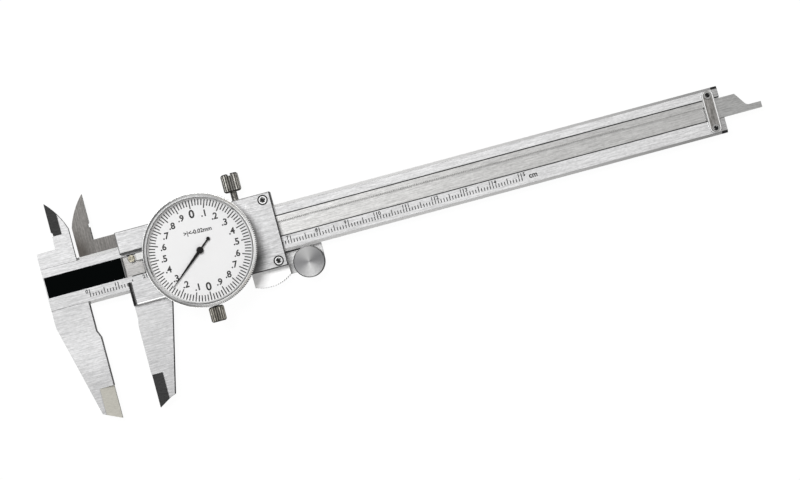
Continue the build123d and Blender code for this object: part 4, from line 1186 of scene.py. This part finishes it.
# %% The beam's marks
scale_length = 150
mark_width = 0.31 * MM
mark_proud = 0.015 * MM
mark_sunk = 0.01 * MM
mark_thickness = mark_proud + mark_sunk
mark_middle = (mark_proud - mark_sunk) / 2
scale_foot = mid_line - 5.85 * MM
short_mark = 1.2 * MM
fifth_mark = 2.05 * MM
tenth_mark = 2.6 * MM
closed_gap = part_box("front_plate")[0].x - mounts["moving_jaw_face"].x
scale_zero = measuring_face + closed_gap


def ink_finish(name, shade):
    """Engraving filled with black, slightly uneven."""
    return painted(name, (shade,) * 3, 0.5, 0.3, 0.3 * MM)


def row_of_marks(values):
    """Marks along a straight line, standing on their foot."""
    tree, given = marks_tree("row_of_marks", values)
    step = vector(tree, given["Pitch"])
    line = {"Count": given["Count"], "Start Location": given["Start"], "Offset": step}
    points = tree.add("GeometryNodeMeshLine", {}, line)
    number = tree.add("GeometryNodeInputIndex")
    lay_slabs(tree, given, points, number, 1)
    return tree


scale_ink = ink_finish("scale_ink", 0.012)
scale_values = {
    "Count": scale_length + 1,
    "Pitch": 1 * MM,
    "Width": mark_width,
    "Thickness": mark_thickness,
    "Short": short_mark,
    "Fifth": fifth_mark,
    "Tenth": tenth_mark,
    "Start": (scale_zero, scale_foot, beam_top + mark_middle),
    "Material": scale_ink,
}
scale_marks = grown("scale_marks", row_of_marks(scale_values), scale_values, "beam")
print("scale marks:", scale_length + 1, "with", len(scale_marks.data.polygons), "faces")

# %% [markdown]
# ## Numbers
#
# A number is a text object with a little thickness, made a mesh before it is put in its place.
# All numbers of one scale are joined into one piece. Each number is scaled to its real height,
# so the font's own size doesn't matter. On the beam a single digit stands left of its long
# mark, and two digits stand on both sides of it.

# %% Join numbers into one piece
stroke_weight = 0.03


def flat_words(words, height):
    """A word as points and faces: centred, this high, one unit thick, with thicker strokes."""
    curve = bpy.data.curves.new("words", "FONT")
    curve.body = words
    curve.align_x = "CENTER"
    curve.resolution_u = 3
    curve.extrude = 0.5
    curve.offset = stroke_weight
    thing = add_object("words", curve)
    mesh = as_mesh(thing)
    lows = [min(point.co[axis] for point in mesh.vertices) for axis in range(2)]
    highs = [max(point.co[axis] for point in mesh.vertices) for axis in range(2)]
    scale = height / (highs[1] - lows[1])
    centre = [(low + high) / 2 for low, high in zip(lows, highs)]
    points = [
        Vector(((point.co.x - centre[0]) * scale, (point.co.y - centre[1]) * scale, point.co.z))
        for point in mesh.vertices
    ]
    faces = [tuple(face.vertices) for face in mesh.polygons]
    bpy.data.objects.remove(thing)
    bpy.data.curves.remove(curve)
    bpy.data.meshes.remove(mesh)
    return points, faces


def printed(name, words_list, surface, turn, centre, ink, body):
    """Words and numbers as one thin piece on a surface.

    Each entry has the words, their height and their place from the centre. The whole lot is
    turned about the centre.
    """
    points, faces = [], []
    turning = Matrix.Rotation(turn, 3, "Z")
    for words, height, place in words_list:
        word_points, word_faces = flat_words(words, height)
        first = len(points)
        for point in word_points:
            flat = turning @ Vector((point.x + place[0], point.y + place[1], 0))
            level = surface - mark_sunk + (point.z + 0.5) * mark_thickness
            points.append((flat.x + centre[0], flat.y + centre[1], level))
        faces += [tuple(first + corner for corner in face) for face in word_faces]
    mesh = bpy.data.meshes.new(name)
    mesh.from_pydata(points, [], faces)
    mesh.materials.append(ink)
    piece = add_object(name, mesh)
    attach(piece, body)
    return piece


number_height = 1.32 * MM
number_back = 0.95 * MM
number_level = -3.85 * MM
unit_place = 153.9 * MM
unit_height = 1.3 * MM
unit_level = -5.0 * MM
scale_words = []
for number in range(scale_length // 10 + 1):
    for digit, side in zip(str(number), (-1, 1)):
        place = (number * 10 * MM + side * number_back, number_level)
        scale_words.append((digit, number_height, place))
scale_words.append(("cm", unit_height, (unit_place, unit_level)))
printed("scale_numbers", scale_words, beam_top, 0.0, (scale_zero, mid_line), scale_ink, "beam")
print("digits on the beam:", len(scale_words) - 1)

# %% [markdown]
# ## Dial
#
# The dial has a hundred divisions, and each fifth one is longer and numbered. One turn of the
# pointer is two millimetres, so the tenths run twice round. The marks are the same slabs as on
# the beam, but their points lie on a circle and each slab turns with its place on it.

# %% The dial's marks
dial_divisions = 100
dial_turn = math.radians(-1.5)
dial_mark_outer = 17.1 * MM
dial_short = 2.1 * MM
dial_fifth = 3.0 * MM
dial_mark_width = 0.37 * MM


def ring_of_marks(values):
    """Marks round a circle, pointing to its centre."""
    tree, given = marks_tree("ring_of_marks", values)
    points = tree.add("GeometryNodeMeshLine", {}, {"Count": given["Count"], "Offset": (0, 0, 0)})
    number = tree.add("GeometryNodeInputIndex")
    angle = given["Turn"] - number * math.tau / given["Count"]
    out_x = given["Radius"] * angle.math("SINE", angle) * -1
    out_y = given["Radius"] * angle.math("COSINE", angle)
    outwards = vector(tree, out_x, out_y)
    place = tree.add("ShaderNodeVectorMath", {"operation": "ADD"}, {0: outwards, 1: given["Centre"]})
    ring = tree.add("GeometryNodeSetPosition", {}, {"Geometry": points, "Position": place})
    lay_slabs(tree, given, ring, number, -1, angle)
    return tree


dial_ink = ink_finish("dial_ink", 0.006)
dial_values = {
    "Count": dial_divisions,
    "Radius": dial_mark_outer,
    "Turn": dial_turn,
    "Width": dial_mark_width,
    "Thickness": mark_thickness,
    "Short": dial_short,
    "Fifth": dial_fifth,
    "Tenth": dial_fifth,
    "Centre": (dial_centre.x, dial_centre.y, dial_top + mark_middle),
    "Material": dial_ink,
}
dial_marks = grown("dial_marks", ring_of_marks(dial_values), dial_values, "bezel")
print("dial marks:", dial_divisions, "with", len(dial_marks.data.polygons), "faces")

# %% The dial's numbers
number_circle = 12.35 * MM
tenth_height = 2.3 * MM
zero_height = 2.9 * MM
resolution_place = (0.65 * MM, 6.2 * MM)
resolution_height = 1.9 * MM
dial_numbers = dial_divisions // 5
dial_words = []
for step in range(dial_numbers):
    angle = step * math.tau / dial_numbers
    place = (number_circle * math.sin(angle), number_circle * math.cos(angle))
    tenths = step % 10
    words = "." + str(tenths) if tenths else "0"
    dial_words.append((words, tenth_height if tenths else zero_height, place))
dial_words.append((">|<-0.02mm", resolution_height, resolution_place))
printed("dial_numbers", dial_words, dial_top, dial_turn, dial_centre, dial_ink, "bezel")
print("numbers on the dial:", dial_numbers)

# %% [markdown]
# ## Thread
#
# The lock screw's shank shows between its knob and the slider. A thread is one round wire
# swept along a spiral, which Geometry Nodes make from a curve and a profile.

# %% Cut the thread
thread_pitch = 0.5 * MM
thread_wire = 0.16 * MM
thread_radius = 1.05 * MM
thread_length = 3.0 * MM
spiral_steps = 16
wire_sides = 6
thread_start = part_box("front_plate")[1].y + 0.1 * MM


def thread_tree(values):
    """A spiral ridge along Y."""
    tree, given = marks_tree("thread", values)
    spiral_sizes = {
        "Resolution": spiral_steps,
        "Rotations": given["Turns"],
        "Start Radius": given["Radius"],
        "End Radius": given["Radius"],
        "Height": given["Length"],
    }
    spiral = tree.add("GeometryNodeCurveSpiral", {}, spiral_sizes)
    wire = {"Resolution": wire_sides, "Radius": given["Wire"]}
    profile = tree.add("GeometryNodeCurvePrimitiveCircle", {}, wire)
    swept = {"Curve": spiral, "Profile Curve": profile, "Fill Caps": True}
    ridge = tree.add("GeometryNodeCurveToMesh", {}, swept)
    laid = {"Geometry": ridge, "Translation": given["Start"], "Rotation": (math.radians(-90), 0, 0)}
    end_tree(tree, tree.add("GeometryNodeTransform", {}, laid), given["Material"])
    return tree


lock_axis = middle("slider_lock_screw")
thread_values = {
    "Turns": thread_length / thread_pitch,
    "Radius": thread_radius,
    "Length": thread_length,
    "Wire": thread_wire,
    "Start": (lock_axis.x, thread_start, lock_axis.z),
    "Material": frame["nodes"]["slider_lock_screw"].material_slots[0].material,
}
grown("lock_screw_thread", thread_tree(thread_values), thread_values, "lock_screw")
print("thread turns:", thread_length / thread_pitch)

# %% [markdown]
# ## Size
#
# The box of the real parts is printed.

# %% Print the box of the parts
print("box of the parts:", [round(side / MM, 2) for side in cad_box[1] - cad_box[0]])
